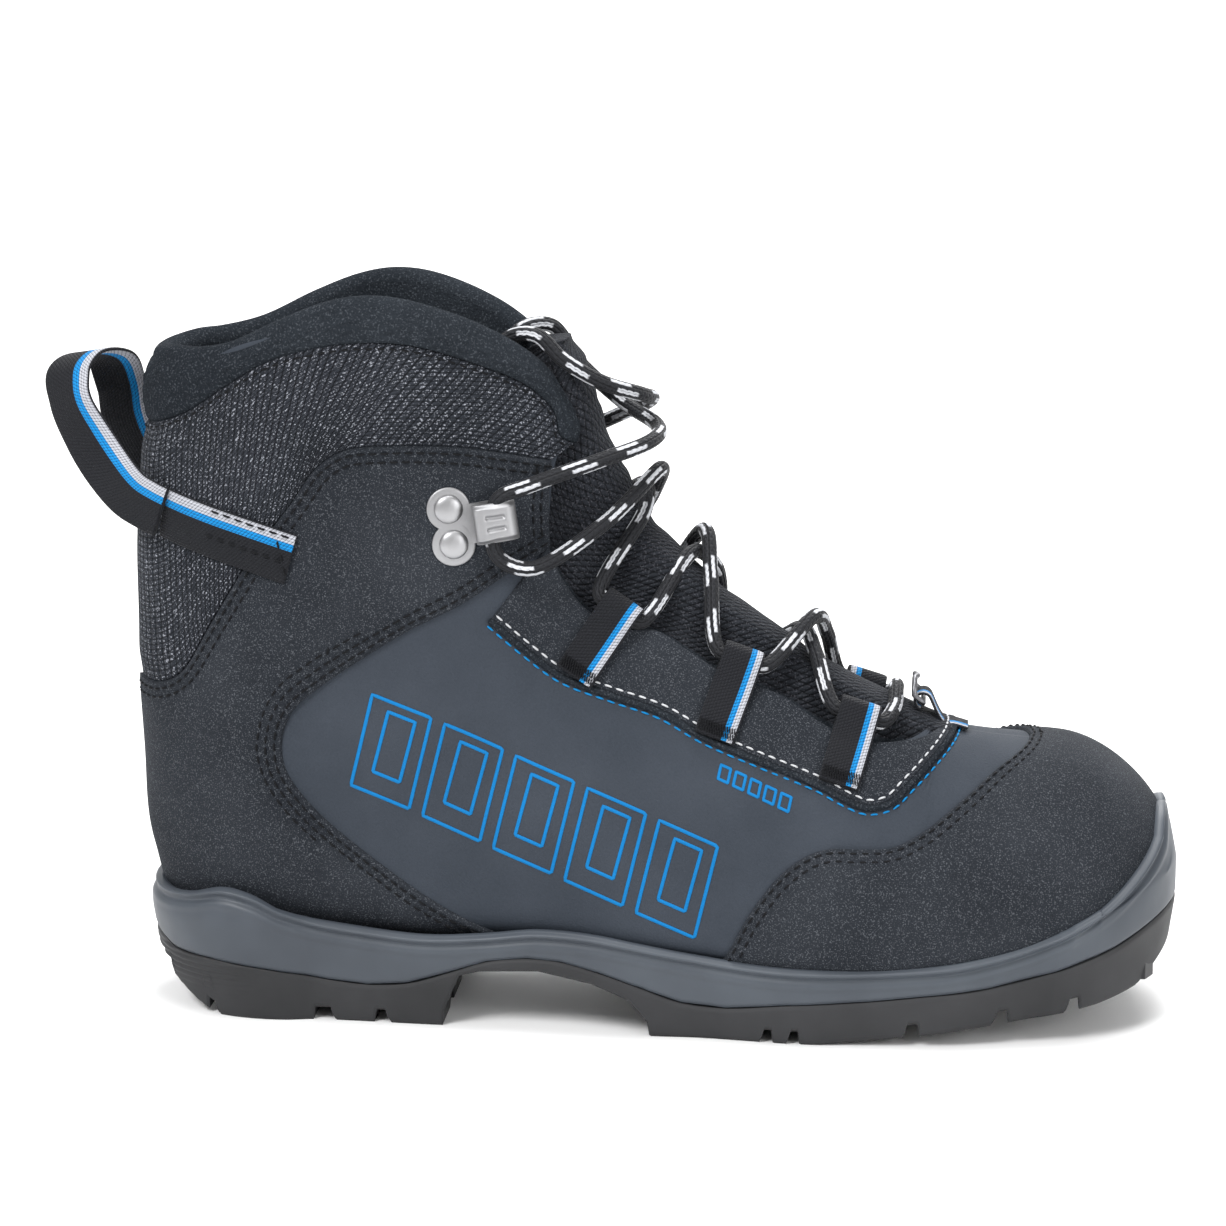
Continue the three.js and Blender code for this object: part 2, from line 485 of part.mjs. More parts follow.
// ---------- fittings on the skin ----------
// the place on one side (-1 lateral, 1 medial) of the upper that shows at X, Z in the side view
function locate(x, z, side) {
  let best = [Infinity, 0, 0];
  let [u0, u1, t0, t1] = [0.05, LAST_U, 0.01, 0.49];
  for (let pass = 0; pass < 7; pass++) {
    for (let i = 0; i <= 24; i++)
      for (let j = 0; j <= 24; j++) {
        const u = u0 + ((u1 - u0) * i) / 24;
        const t = t0 + ((t1 - t0) * j) / 24;
        const p = surface(u, t);
        const d = Math.hypot(p.x - x, p.z - z);
        if (d < best[0]) best = [d, u, t];
      }
    const [, u, t] = best;
    const du = (u1 - u0) / 8;
    const dt = (t1 - t0) / 8;
    [u0, u1] = [Math.max(0.05, u - du), Math.min(LAST_U, u + du)];
    [t0, t1] = [Math.max(0.002, t - dt), Math.min(0.498, t + dt)];
  }
  const turn = side < 0 ? best[2] : 1 - best[2];
  return { u: best[1], turn, point: surface(best[1], turn), out: normal(best[1], turn) };
}
// a frame on the skin: X along the side-view direction, Y up from it, Z out of the skin (mirrored on the
// medial side)
function skinFrame(x, z, side, dx, dz) {
  const { point, out } = locate(x, z, side);
  const along = new THREE.Vector3(dx, 0, dz).normalize();
  along.addScaledVector(out, -along.dot(out)).normalize();
  const across = new THREE.Vector3().crossVectors(out, along).normalize();
  return new THREE.Matrix4().makeBasis(along, across, out).setPosition(point);
}
const placed = (geometry, matrix) => solidOf(geometry.clone().applyMatrix4(matrix));
const SIDES = [[-1, "lateral"], [1, "medial"]];

// webbing loops that hold the lace: eye centre beyond the throat edge, and the foot of the strip, (X, Z)
const LOOPS = [
  { eye: [-13.5, 122.5], foot: [-25.5, 104.5] },
  { eye: [22, 107], foot: [15, 87.5] },
  { eye: [56, 90.5], foot: [51, 74.5] },
];
const EYE_R = LOOP_EYE_R + WEBBING_T;
function loopPiece({ eye, foot }, side) {
  const dir = [eye[0] - foot[0], eye[1] - foot[1]];
  const matrix = skinFrame((eye[0] + foot[0]) / 2, (eye[1] + foot[1]) / 2, side, ...dir);
  const back = new THREE.Matrix4().copy(matrix).invert();
  const steps = 6;
  const top = [];
  const low = [];
  for (let i = 0; i <= steps; i++) {
    const f = (i / steps) * 0.86;
    const { u, turn } = locate(foot[0] + dir[0] * f, foot[1] + dir[1] * f, side);
    const a = skin(u, turn, PANEL_TOP + GAP + 0.5 + WEBBING_T).applyMatrix4(back);
    const b = skin(u, turn, PANEL_TOP - 1).applyMatrix4(back);
    top.push([a.x, a.z]);
    low.push([b.x, b.z]);
  }
  const shape = new THREE.Shape([...low, ...top.reverse()].map(([a, b]) => new THREE.Vector2(a, b)));
  const end = top[0];
  const eyeAt = [end[0] + EYE_R * 0.8, end[1] - WEBBING_T / 2 - 0.6];
  const g = new THREE.ExtrudeGeometry(shape, { depth: LOOP_WIDTH, bevelEnabled: false });
  g.translate(0, 0, -LOOP_WIDTH / 2).rotateX(Math.PI / 2);
  const ring = new THREE.CylinderGeometry(EYE_R, EYE_R, LOOP_WIDTH, 16).translate(eyeAt[0], 0, eyeAt[1]);
  const bore = new THREE.CylinderGeometry(LOOP_EYE_R, LOOP_EYE_R, LOOP_WIDTH + 4, 16).translate(eyeAt[0],
    0, eyeAt[1]);
  const centre = new THREE.Vector3(eyeAt[0], 0, eyeAt[1]).applyMatrix4(matrix);
  const axis = new THREE.Vector3().setFromMatrixColumn(matrix, 1);
  const solid = placed(g, matrix).subtract(upper(PANEL_TOP + GAP)).add(placed(ring, matrix))
    .subtract(placed(bore, matrix)).subtract(upper(PANEL_TOP + GAP).subtract(throatOutline(-GAP, -GAP)));
  return { solid, centre, axis };
}
const loops = [];
for (const [side, sideName] of SIDES)
  LOOPS.forEach((loop, i) => loops.push({ ...loopPiece(loop, side),
    name: `lace_loop_${sideName}_${i + 1}` }));
for (const l of loops) add(l.name, l.solid.subtract(laceSpace), "blue");

// lace hooks: base plate with two rivets, neck in front, guard plate over the lace
const HOOK = { at: [-56, 148.5], half: 5.7, disc: 6.3, forward: 12.5, rise: LACE_D + 2,
  lift: PANEL_TOP + 0.7 };
function plate(x0, x1, y0, y1, z0, z1) {
  return new THREE.BoxGeometry(x1 - x0, y1 - y0, z1 - z0).translate((x0 + x1) / 2, (y0 + y1) / 2,
    (z0 + z1) / 2);
}
const disc = (r, x, y, z0, z1, steps = 20) =>
  new THREE.CylinderGeometry(r, r, z1 - z0, steps).rotateX(Math.PI / 2).translate(x, y, (z0 + z1) / 2);
const hooks = SIDES.map(([side, sideName]) => {
  const matrix = skinFrame(...HOOK.at, side, 1, 0);
  const at = (g) => placed(g, matrix);
  const z0 = HOOK.lift;
  const z1 = z0 + HOOK_PLATE_T;
  const z2 = z1 + HOOK.rise;
  const z3 = z2 + HOOK_PLATE_T;
  const x0 = -5.5;
  let solid = at(disc(HOOK.disc, x0, -HOOK.half, z0, z1)).add(at(disc(HOOK.disc, x0, HOOK.half, z0, z1)))
    .add(at(plate(x0, HOOK.forward, -4, 4, z0, z1)))
    .add(at(plate(HOOK.forward - HOOK_PLATE_T, HOOK.forward, -4, 4, z0, z3)))
    .add(at(plate(1.5, HOOK.forward, -6, 6, z2, z3)));
  const rivets = [-1, 1].map((s) => {
    const y = s * HOOK.half;
    const shank = (extra) => at(disc(1.6 + extra, x0, y, PANEL_TOP - PANEL_T, z1 + 0.5, 12));
    solid = solid.subtract(shank(GAP));
    const cap = at(new THREE.LatheGeometry([
      new THREE.Vector2(0, 0), new THREE.Vector2(RIVET_R, 0), new THREE.Vector2(RIVET_R * 0.9, 0.8),
      new THREE.Vector2(RIVET_R * 0.5, 1.5), new THREE.Vector2(0, 1.8)], 20).rotateX(Math.PI / 2)
      .translate(x0, y, z1 + GAP));
    // the frame's Y runs up on the lateral side, down on the medial
    const place = s * side > 0 ? "lower" : "upper";
    return { name: `hook_rivet_${sideName}_${place}`, solid: cap.add(shank(0)), hole: shank(GAP) };
  });
  return { name: `lace_hook_${sideName}`, solid, rivets };
});
let drilled = heelOverlay;
for (const h of hooks) {
  add(h.name, h.solid, "steel");
  for (const r of h.rivets) {
    add(r.name, r.solid, "steel");
    drilled = drilled.subtract(r.hole);
  }
}
add("heel_ankle_overlay", drilled, "panel");

// vamp loop and gaiter hook at the front of the throat
const VAMP_LOOP = { foot: [86, 90], eye: [75, 91.5], width: 10 };
const crown = (x) => {
  let [a, b] = [0.5, 11];
  for (let i = 0; i < 40; i++) {
    const m = (a + b) / 2;
    if (surface(m, 0).x > x) a = m;
    else b = m;
  }
  return surface((a + b) / 2, 0);
};
const TUNNEL_R = 1.5;
const tunnelAt = [VAMP_LOOP.eye[0], crown(VAMP_LOOP.eye[0]).z + TONGUE_PROUD + 3.2];
const vampMid = soleMid(VAMP_LOOP.eye[0]);
const strip = prism([[88, crown(88).z - 1], [88, crown(88).z + PANEL_TOP + 2], tunnelAt.map((v,
  i) => v + [0.5, 2.4][i]),
  tunnelAt.map((v, i) => v + [-1.5, 1.2][i]), tunnelAt.map((v, i) => v + [-0.5, -2.3][i])],
  vampMid - VAMP_LOOP.width / 2, vampMid + VAMP_LOOP.width / 2);
const tunnel = (r, w) => solidOf(new THREE.CylinderGeometry(r, r, w, 14).translate(tunnelAt[0], vampMid,
  tunnelAt[1]));
add("vamp_loop", strip.add(tunnel(TUNNEL_R + WEBBING_T, VAMP_LOOP.width)).subtract(upper(PANEL_TOP + GAP))
  .subtract(tunnel(TUNNEL_R, 30)), "blue");
const hookHalf = VAMP_LOOP.width / 2 + 1.6;
const wire = [[0, -hookHalf, 0], [0, 0, 0], [0, hookHalf, 0], [-2.4, hookHalf, 2.6], [-1.6,
  hookHalf - 0.8, 5.6],
  [1.4, hookHalf - 2, 6.9], [3.2, 0, 6.2], [1.4, -hookHalf + 2, 6.9], [-1.6, -hookHalf + 0.8, 5.6],
    [-2.4, -hookHalf, 2.6]]
  .map(([x, y, z]) => new THREE.Vector3(tunnelAt[0] + x, vampMid + y, tunnelAt[1] + z));
const ringShape = new THREE.Shape().absarc(0, 0, RING_WIRE_D / 2, 0, Math.PI * 2, false);
add("gaiter_hook", solidOf(new THREE.ExtrudeGeometry(ringShape, { steps: 30, curveSegments: 3,
  bevelEnabled: false,
  extrudePath: new THREE.CatmullRomCurve3(wire, true, "centripetal") })), "steel");

// pull strap: sewn ends along the ankle, free loop behind it
function ribbon(frames, width, thick) {
  const points = [];
  const faces = [];
  frames.forEach(([p, out], i) => {
    const a = frames[Math.max(0, i - 1)][0];
    const b = frames[Math.min(frames.length - 1, i + 1)][0];
    const along = new THREE.Vector3().subVectors(b, a).normalize();
    const across = new THREE.Vector3().crossVectors(along, out).normalize();
    const up = new THREE.Vector3().crossVectors(across, along).normalize();
    for (const [s, t] of [[-1, -1], [1, -1], [1, 1], [-1, 1]])
      points.push(p.clone().addScaledVector(across, (s * width) / 2).addScaledVector(up, (t * thick) / 2));
  });
  const at = (i, j) => i * 4 + (j % 4);
  for (let i = 0; i < frames.length - 1; i++)
    for (let j = 0; j < 4; j++) {
      faces.push([at(i, j), at(i, j + 1), at(i + 1, j + 1)], [at(i, j), at(i + 1, j + 1), at(i + 1, j)]);
    }
  const e = frames.length - 1;
  faces.push([at(0, 0), at(0, 2), at(0, 1)], [at(0, 0), at(0, 3), at(0, 2)]);
  faces.push([at(e, 0), at(e, 1), at(e, 2)], [at(e, 0), at(e, 2), at(e, 3)]);
  const made = solidOf(closedMesh(points, faces));
  return made.volume() > 0 ? made : solidOf(closedMesh(points, faces.map((f) => [...f].reverse())));
}
const STRAP_ANCHOR = [[-108, 139], [-120, 142.5], [-132, 146], [-143.5, 149.5]];
const STRAP_LOOP = [ // centre line and the way its face looks
  [-149.5, -25.5, 151.3, 0, -1, 0], [-157, -21, 154.5, 0, -1, 0], [-164, -15.5, 160.5, 0, -1, 0], [-171,
    -12, 170, 0, -1, 0.1],
  [-176, -10.5, 180, -0.15, -1, 0.3], [-177, -7.5, 188.5, -0.3, -0.7, 0.8], [-172.5, -1, 192.5, -0.2, 0, 1],
  [-165, 6, 190.5, 0.2, 0.7, 0.8], [-162, 10.5, 182, 0.1, 1, 0.2], [-162, 14.5, 172, 0, 1, 0.1],
  [-160.5, 19, 162.5, 0, 1, 0], [-157, 22.5, 154.8, 0, 1, 0], [-149.5, 26.2, 151.3, 0, 1, 0]];
const strapOff = PANEL_TOP + GAP + STRAP_T / 2;
const strapEdge = upper(PANEL_TOP + GAP);
for (const [side, sideName] of SIDES) {
  const frames = STRAP_ANCHOR.map(([x, z]) => {
    const { u, turn, out } = locate(x, z, side);
    return [skin(u, turn, strapOff + 0.5), out];
  });
  add(`strap_anchor_${sideName}`, ribbon(frames, STRAP_WIDTH, STRAP_T).subtract(strapEdge), "blue");
}
const loopCurve = new THREE.CatmullRomCurve3(STRAP_LOOP.map(([x, y, z]) => new THREE.Vector3(x, y, z)),
  false, "centripetal");
const outCurve = new THREE.CatmullRomCurve3(STRAP_LOOP.map((f) => new THREE.Vector3(f[3], f[4], f[5])),
  false, "catmullrom");
const STRAP_STEPS = 36;
const loopFrames = Array.from({ length: STRAP_STEPS + 1 }, (_, i) => [loopCurve.getPoint(i / STRAP_STEPS),
  outCurve.getPoint(i / STRAP_STEPS).normalize()]);
add("pull_strap", ribbon(loopFrames, STRAP_WIDTH, STRAP_T).subtract(upper(COLLAR_PROUD + GAP)), "blue");

// the origin lies under the middle of the whole boot
const size = new THREE.Box3().setFromObject(boot);
boot.position.set(-(size.min.x + size.max.x) / 2, -(size.min.y + size.max.y) / 2, -size.min.z);

export default boot;
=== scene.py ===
"""A cross-country ski boot, built as numpy surfaces round its packed CAD frame."""

import bmesh
import bpy
import numpy as np
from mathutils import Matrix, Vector


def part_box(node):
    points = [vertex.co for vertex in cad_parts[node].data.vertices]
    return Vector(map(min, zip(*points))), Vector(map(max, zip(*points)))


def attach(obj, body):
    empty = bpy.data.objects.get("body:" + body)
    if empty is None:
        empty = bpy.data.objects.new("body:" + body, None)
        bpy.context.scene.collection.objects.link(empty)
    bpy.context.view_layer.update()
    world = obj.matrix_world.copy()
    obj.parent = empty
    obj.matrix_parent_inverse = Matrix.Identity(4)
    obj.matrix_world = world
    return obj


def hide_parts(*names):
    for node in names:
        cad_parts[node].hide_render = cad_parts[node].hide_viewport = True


bl_info = {
    "name": "Cross-country boot builder",
    "version": (1, 0, 0),
    "blender": (4, 5, 0),
    "location": "3D View > Sidebar > Boot",
    "description": "Builds a laced cross-country ski boot piece by piece",
    "category": "Add Mesh",
}

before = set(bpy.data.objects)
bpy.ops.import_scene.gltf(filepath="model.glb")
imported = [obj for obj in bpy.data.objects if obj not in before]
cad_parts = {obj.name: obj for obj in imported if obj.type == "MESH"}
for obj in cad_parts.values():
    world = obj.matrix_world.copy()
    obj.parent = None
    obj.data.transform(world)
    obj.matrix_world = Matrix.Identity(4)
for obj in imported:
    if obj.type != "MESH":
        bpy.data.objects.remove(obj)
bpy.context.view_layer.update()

# ---------- places and sizes, millimetres in the maker's own frame ----------
TOE_START_X = 116.0
TOE_LENGTH = 31.2
TOE_NOSE_Z = 46.0
RAND_T = 3.6
TOE_TIP_X = TOE_START_X + TOE_LENGTH + RAND_T
SOLE_HEEL_X = -116.0
SOLE_HEEL_R = 41.0
SOLE_HEEL_HALF = 38.6
HEEL_TIP_X = SOLE_HEEL_X - SOLE_HEEL_R
BAR_X = 134.0
LUG_DEPTH = 4.0
LACE_D = 4.4
STRAP_WIDTH = 15.0
STRAP_T = 1.6

# each station of the upper: front x, front z, back x, back z, half width, middle y,
# belly share, front roundness, back roundness
STATIONS = np.array([
    [116, 80, 116, 25.5, 44, 4, 0.8, 2.2, 3],
    [85, 84.5, 84, 19.5, 48.5, 1.5, 0.84, 2.1, 3],
    [55, 96, 49, 17.5, 48, 0, 0.86, 2, 3],
    [25, 115, 4, 19, 42.5, -1.5, 0.86, 2, 3],
    [-3, 139, -60, 22, 37.5, -1.5, 0.8, 2.1, 3],
    [-11, 150, -105, 22, 36, 0, 0.72, 2.1, 3],
    [-16, 160, -142, 24, 35.5, 0, 0.62, 2.1, 2.7],
    [-20, 168, -153.5, 46, 35, 0, 0.55, 2.1, 2.4],
    [-22.5, 175, -156, 76, 34.5, 0, 0.52, 2.1, 2.3],
    [-26, 189, -157, 130, 34, 0, 0.5, 2.1, 2.3],
    [-28, 203, -153, 182, 36, 0, 0.5, 2.1, 2.3],
    [-29, 222, -150, 220, 37, 0, 0.5, 2.1, 2.3],
], dtype=float)
LAST_U = float(len(STATIONS))

# ahead of the first station the toe's middle line leaves TOE_MID_Y with this slope
TOE_MID_Y = STATIONS[0, 5]
TOE_SLANT = 2.5 / 31
BAR_BOX = np.array(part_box("toe_bar"))
SHIFT = np.array([
    BAR_BOX[:, 0].mean() * 1000 - BAR_X,
    BAR_BOX[:, 1].mean() * 1000 - TOE_MID_Y - (BAR_X - TOE_START_X) * TOE_SLANT,
    0.0,
])


def to_frame(points):
    """Millimetres in the maker's frame to metres in the CAD frame."""
    return (np.asarray(points, dtype=float) + SHIFT) / 1000


# ---------- small helpers ----------
def unit(v):
    return v / np.maximum(np.linalg.norm(v, axis=-1, keepdims=True), 1e-9)


def bump(x, centre, width):
    return np.exp(-(((x - centre) / width) ** 2))


def ease(x):
    x = np.clip(x, 0, 1)
    return x * x * (3 - 2 * x)


def parts(ut):
    """An array of (u, turn) as its two numbers."""
    return ut[..., 0], ut[..., 1]


def hermite(f, a, slope_a, b, slope_b):
    """Cubic from a to b as f goes from 0 to 1, with the slopes given at both ends."""
    f2, f3 = f * f, f * f * f
    ends = (2 * f3 - 3 * f2 + 1) * a + (3 * f2 - 2 * f3) * b
    return ends + (f3 - 2 * f2 + f) * slope_a + (f3 - f2) * slope_b


def lengths(p, axis=0):
    """Running length of a line or a grid of points along one axis."""
    step = np.linalg.norm(np.diff(p, axis=axis), axis=-1)
    return np.concatenate([np.zeros_like(np.take(step, [0], axis)), np.cumsum(step, axis=axis)], axis=axis)


def sample(at, s, p):
    """The columns of p, which are known at s, read off at other places."""
    return np.stack([np.interp(at, s, column) for column in p.T], axis=1)


def round_angles(count):
    return np.linspace(0, 2 * np.pi, count, endpoint=False)


# ---------- the upper as one surface of two numbers ----------
def section(u):
    """Station values at u: a cubic through the stations, and ahead of the first one a quarter
    circle that shrinks every size to the nose while it keeps the slope it had."""
    u = np.asarray(u, dtype=float)
    last = len(STATIONS) - 1
    k = np.clip(u - 1, 0, last)
    i = np.minimum(np.floor(k).astype(int), last - 1)
    f = (k - i)[..., None]
    a, b, c, d = (STATIONS[np.clip(i + n, 0, last)] for n in (-1, 0, 1, 2))
    row = hermite(f, b, (c - a) / 2, c, (d - b) / 2)
    first, second = STATIONS[0], STATIONS[1]
    slope = (first - second) / (first[0] - second[0])
    angle = np.clip(u, 0, 1) * np.pi / 2
    shrink, ahead = np.sin(angle)[..., None], (TOE_LENGTH * np.cos(angle))[..., None]
    toe = np.broadcast_to(first, row.shape).copy()
    toe[..., 0:1] = TOE_START_X + ahead
    toe[..., 2:3] = TOE_START_X + ahead
    for n, nose in ((1, TOE_NOSE_Z), (3, TOE_NOSE_Z), (4, 0.0)):
        toe[..., n:n + 1] = nose + (first[n] - nose + slope[n] * ahead) * shrink
    toe[..., 5:6] = first[5] + slope[5] * ahead
    return np.where((u < 1)[..., None], toe, row)


def surface(u, turn):
    """Point at u along the boot and turn round it: 0 front centre, 0.25 lateral belly, 0.5 back.
    Two super-ellipse halves meet at the belly."""
    u, turn = np.broadcast_arrays(np.asarray(u, float), np.asarray(turn, float))
    fx, fz, bx, bz, half, mid, belly, nf, nb = np.moveaxis(section(u), -1, 0)
    c, s = np.cos(turn * 2 * np.pi), np.sin(turn * 2 * np.pi)
    n = np.where(c >= 0, nf, nb)
    along = np.abs(c) ** (2 / n)
    t = np.where(c >= 0, belly * (1 - along), belly + (1 - belly) * along)
    y = mid - np.sign(s) * half * np.abs(s) ** (2 / n)
    return np.stack([fx + (bx - fx) * t, y, fz + (bz - fz) * t], axis=-1)


def outward(u, turn):
    """Outward unit normal: the cross product of the two central differences."""
    e = 1e-3
    u = np.clip(u, 0.03, LAST_U - e)
    du = surface(u + e, turn) - surface(u - e, turn)
    dv = surface(u, turn + e) - surface(u, turn - e)
    return unit(np.cross(du, dv))


def ripple(p):
    """Soft hand-made unevenness of the fabric: a few long sine waves, about half a millimetre."""
    x, y, z = p[..., 0], p[..., 1], p[..., 2]
    return (0.22 * np.sin(x / 17 + 1.3 * np.sin(z / 23) + 0.8) * np.sin(z / 13 + y / 19)
            + 0.16 * np.sin(x / 9.1 - z / 11 + y / 15 + 2.1) + 0.12 * np.sin(z / 6.3 + x / 21 + 0.4))


def skin(u, turn, off):
    """The upper's surface moved out by off, with the fabric's ripple."""
    p = surface(u, turn)
    return p + outward(u, turn) * (np.asarray(off) + ripple(p))[..., None]


def unwrap(points):
    """Side-view points (x, z) to (u, turn) on the lateral side: halving for the section whose
    chord passes through the point, then the super-ellipse run backwards."""
    points = np.asarray(points, dtype=float)
    x, z = parts(points)
    low, high = np.full(x.shape, 0.02), np.full(x.shape, LAST_U)
    for _ in range(34):
        u = (low + high) / 2
        fx, fz, bx, bz = np.moveaxis(section(u)[..., :4], -1, 0)
        ahead = (x - fx) * (bz - fz) < (z - fz) * (bx - fx)
        high = np.where(ahead, u, high)
        low = np.where(ahead, low, u)
    fx, fz, bx, bz, _, _, belly, nf, nb = np.moveaxis(section(u), -1, 0)
    chord = (bx - fx) ** 2 + (bz - fz) ** 2
    t = np.clip(((x - fx) * (bx - fx) + (z - fz) * (bz - fz)) / chord, 0, 1)
    front = np.clip(1 - t / belly, 0, 1) ** (nf / 2)
    back = np.clip((t - belly) / (1 - belly), 0, 1) ** (nb / 2)
    cosine = np.where(t < belly, front, -back)
    return np.stack([u, np.arccos(np.clip(cosine, -1, 1)) / (2 * np.pi)], axis=-1)


# ---------- lines ----------
def smooth_line(points, count=240):
    """A cubic through hand-placed points, spaced evenly by length."""
    p = np.asarray(points, dtype=float)
    at = np.concatenate([[0], np.cumsum(np.linalg.norm(np.diff(p, axis=0), axis=1) ** 0.5)])
    slope = np.gradient(p, at, axis=0)
    s = np.linspace(0, at[-1], count * 4)
    i = np.clip(np.searchsorted(at, s, side="right") - 1, 0, len(p) - 2)
    h = (at[i + 1] - at[i])[:, None]
    f = (s - at[i])[:, None] / h
    return even(hermite(f, p[i], h * slope[i], p[i + 1], h * slope[i + 1]), count)


def even(p, count):
    """The same line with count points spaced evenly by length."""
    length = lengths(p)
    return sample(np.linspace(0, length[-1], count), length, p)


def on_skin(line, across=None, count=300):
    """A side-view line as (u, turn), evenly spaced on the boot. across="crown" carries it over the
    front centre line to the medial side, across="back" round the heel, mirrored."""
    ut = unwrap(line)
    if across == "crown":
        ut = np.concatenate([ut, (ut * [1, -1])[::-1][1:]])
    if across == "back":
        ut = np.concatenate([ut, (ut * [1, -1] + [0, 1])[::-1][1:]])
    length = lengths(surface(*parts(ut)))
    length += np.arange(len(length)) * 1e-7
    return sample(np.linspace(0, length[-1], count), length, ut)


def height_at(line, x):
    return np.interp(x, line[:, 0], line[:, 1])


THROAT = smooth_line([[78, 86.3], [70, 84.5], [60, 85], [51, 88], [43, 92], [33, 98.5], [20, 103.5], [6, 112],
                      [-2, 117], [-12, 118.5], [-22, 123], [-29, 131], [-33.5, 141], [-33.5, 154],
                      [-32, 166], [-28, 176]])
EYESTAY_EDGE = smooth_line([[-50, 121], [-40, 112.5], [-29, 105], [-15, 100], [0, 95], [13, 88], [29, 81.5],
                            [46, 75], [54, 71], [60, 69], [66, 70], [71, 74], [77, 79], [84, 84.8]])
OVERLAY_TOP = smooth_line([[-33, 166], [-46, 169], [-60, 171.5], [-80, 172], [-92, 170.5], [-100, 165],
                           [-107, 155], [-119, 139], [-132, 118], [-142, 102], [-149, 98], [-156.5, 97.5]])
OVERLAY_LOW = smooth_line([[-33, 141], [-45, 134], [-58, 125.5], [-73, 118], [-86, 110], [-99, 101],
                           [-107, 94], [-110.5, 86], [-110, 77], [-105, 69], [-94, 58], [-77, 45], [-63, 36],
                           [-48, 28], [-40, 25]])
TOE_CAP_EDGE = smooth_line([[12, 18], [19, 25], [26, 38], [34, 49], [42, 55.5], [49, 58], [58, 58],
                            [67, 58.5], [75, 62], [88, 71], [96, 76.5], [107, 81.4]])
COLLAR_LOW = smooth_line([[-27, 170], [-31, 172.5], [-33, 180], [-40, 188], [-53, 195], [-71, 201],
                          [-84, 202],
                          [-98, 200.5], [-113, 196], [-127, 187.5], [-138, 180], [-148, 175.5],
                          [-153.7, 174]])
COLLAR_TOP = smooth_line([[-27, 178], [-34, 190], [-47, 200], [-60, 206], [-76, 210.5], [-87, 211],
                          [-97, 209],
                          [-110, 204], [-126, 197], [-138, 195], [-145, 195], [-151.8, 194]])
RAND_TOP = np.array([[-175, 38], [-152, 36.5], [-143, 37.5], [-132, 40], [-123, 38.5], [-113, 34.5],
                     [-102, 31.5], [-88, 29.5], [-70, 28], [-52, 29], [-36, 31], [-21, 30.5], [-5, 28],
                     [10, 25.5], [28, 23.5], [50, 23], [71, 24], [89, 26], [106, 30], [119, 35.5],
                     [132, 44.5], [140, 54], [144, 60], [160, 63]], dtype=float)
RAND_LOW = np.array([[-175, 24], [-155, 21.5], [-148, 18.5], [-136, 18], [-118, 16], [-100, 13], [-88, 12],
                     [-76, 13], [-63, 17], [-51, 21], [-39, 22.5], [-29, 22], [-17, 19], [-5, 15],
                     [7, 11], [20, 10], [38, 12], [63, 14], [80, 16], [97, 18], [115, 22], [133, 28],
                     [146, 34], [160, 37]], dtype=float)
TREAD = np.array([[-160, 14], [-150, 8], [-143, 3], [-137, 0], [-66, 0], [-60, 12], [-54, 13.5],
                  [-36, 14.5], [-20, 11.5], [-9, 7], [-3, 0], [48, 0], [80, 3.5], [105, 7], [130, 10.5],
                  [142, 13], [149, 19], [156, 28]], dtype=float)
LUG_ENDS = [(-150, -139), (-136, -106), (-100, -87), (-83, -66), (-3, 31.5), (34.5, 39.5), (42.5, 74),
            (78, 100), (104, 121.2), (124.8, 170)]
GUIDE_Y = 14.5
GUIDE_HALF = 4.0
NOSE_U = 0.02


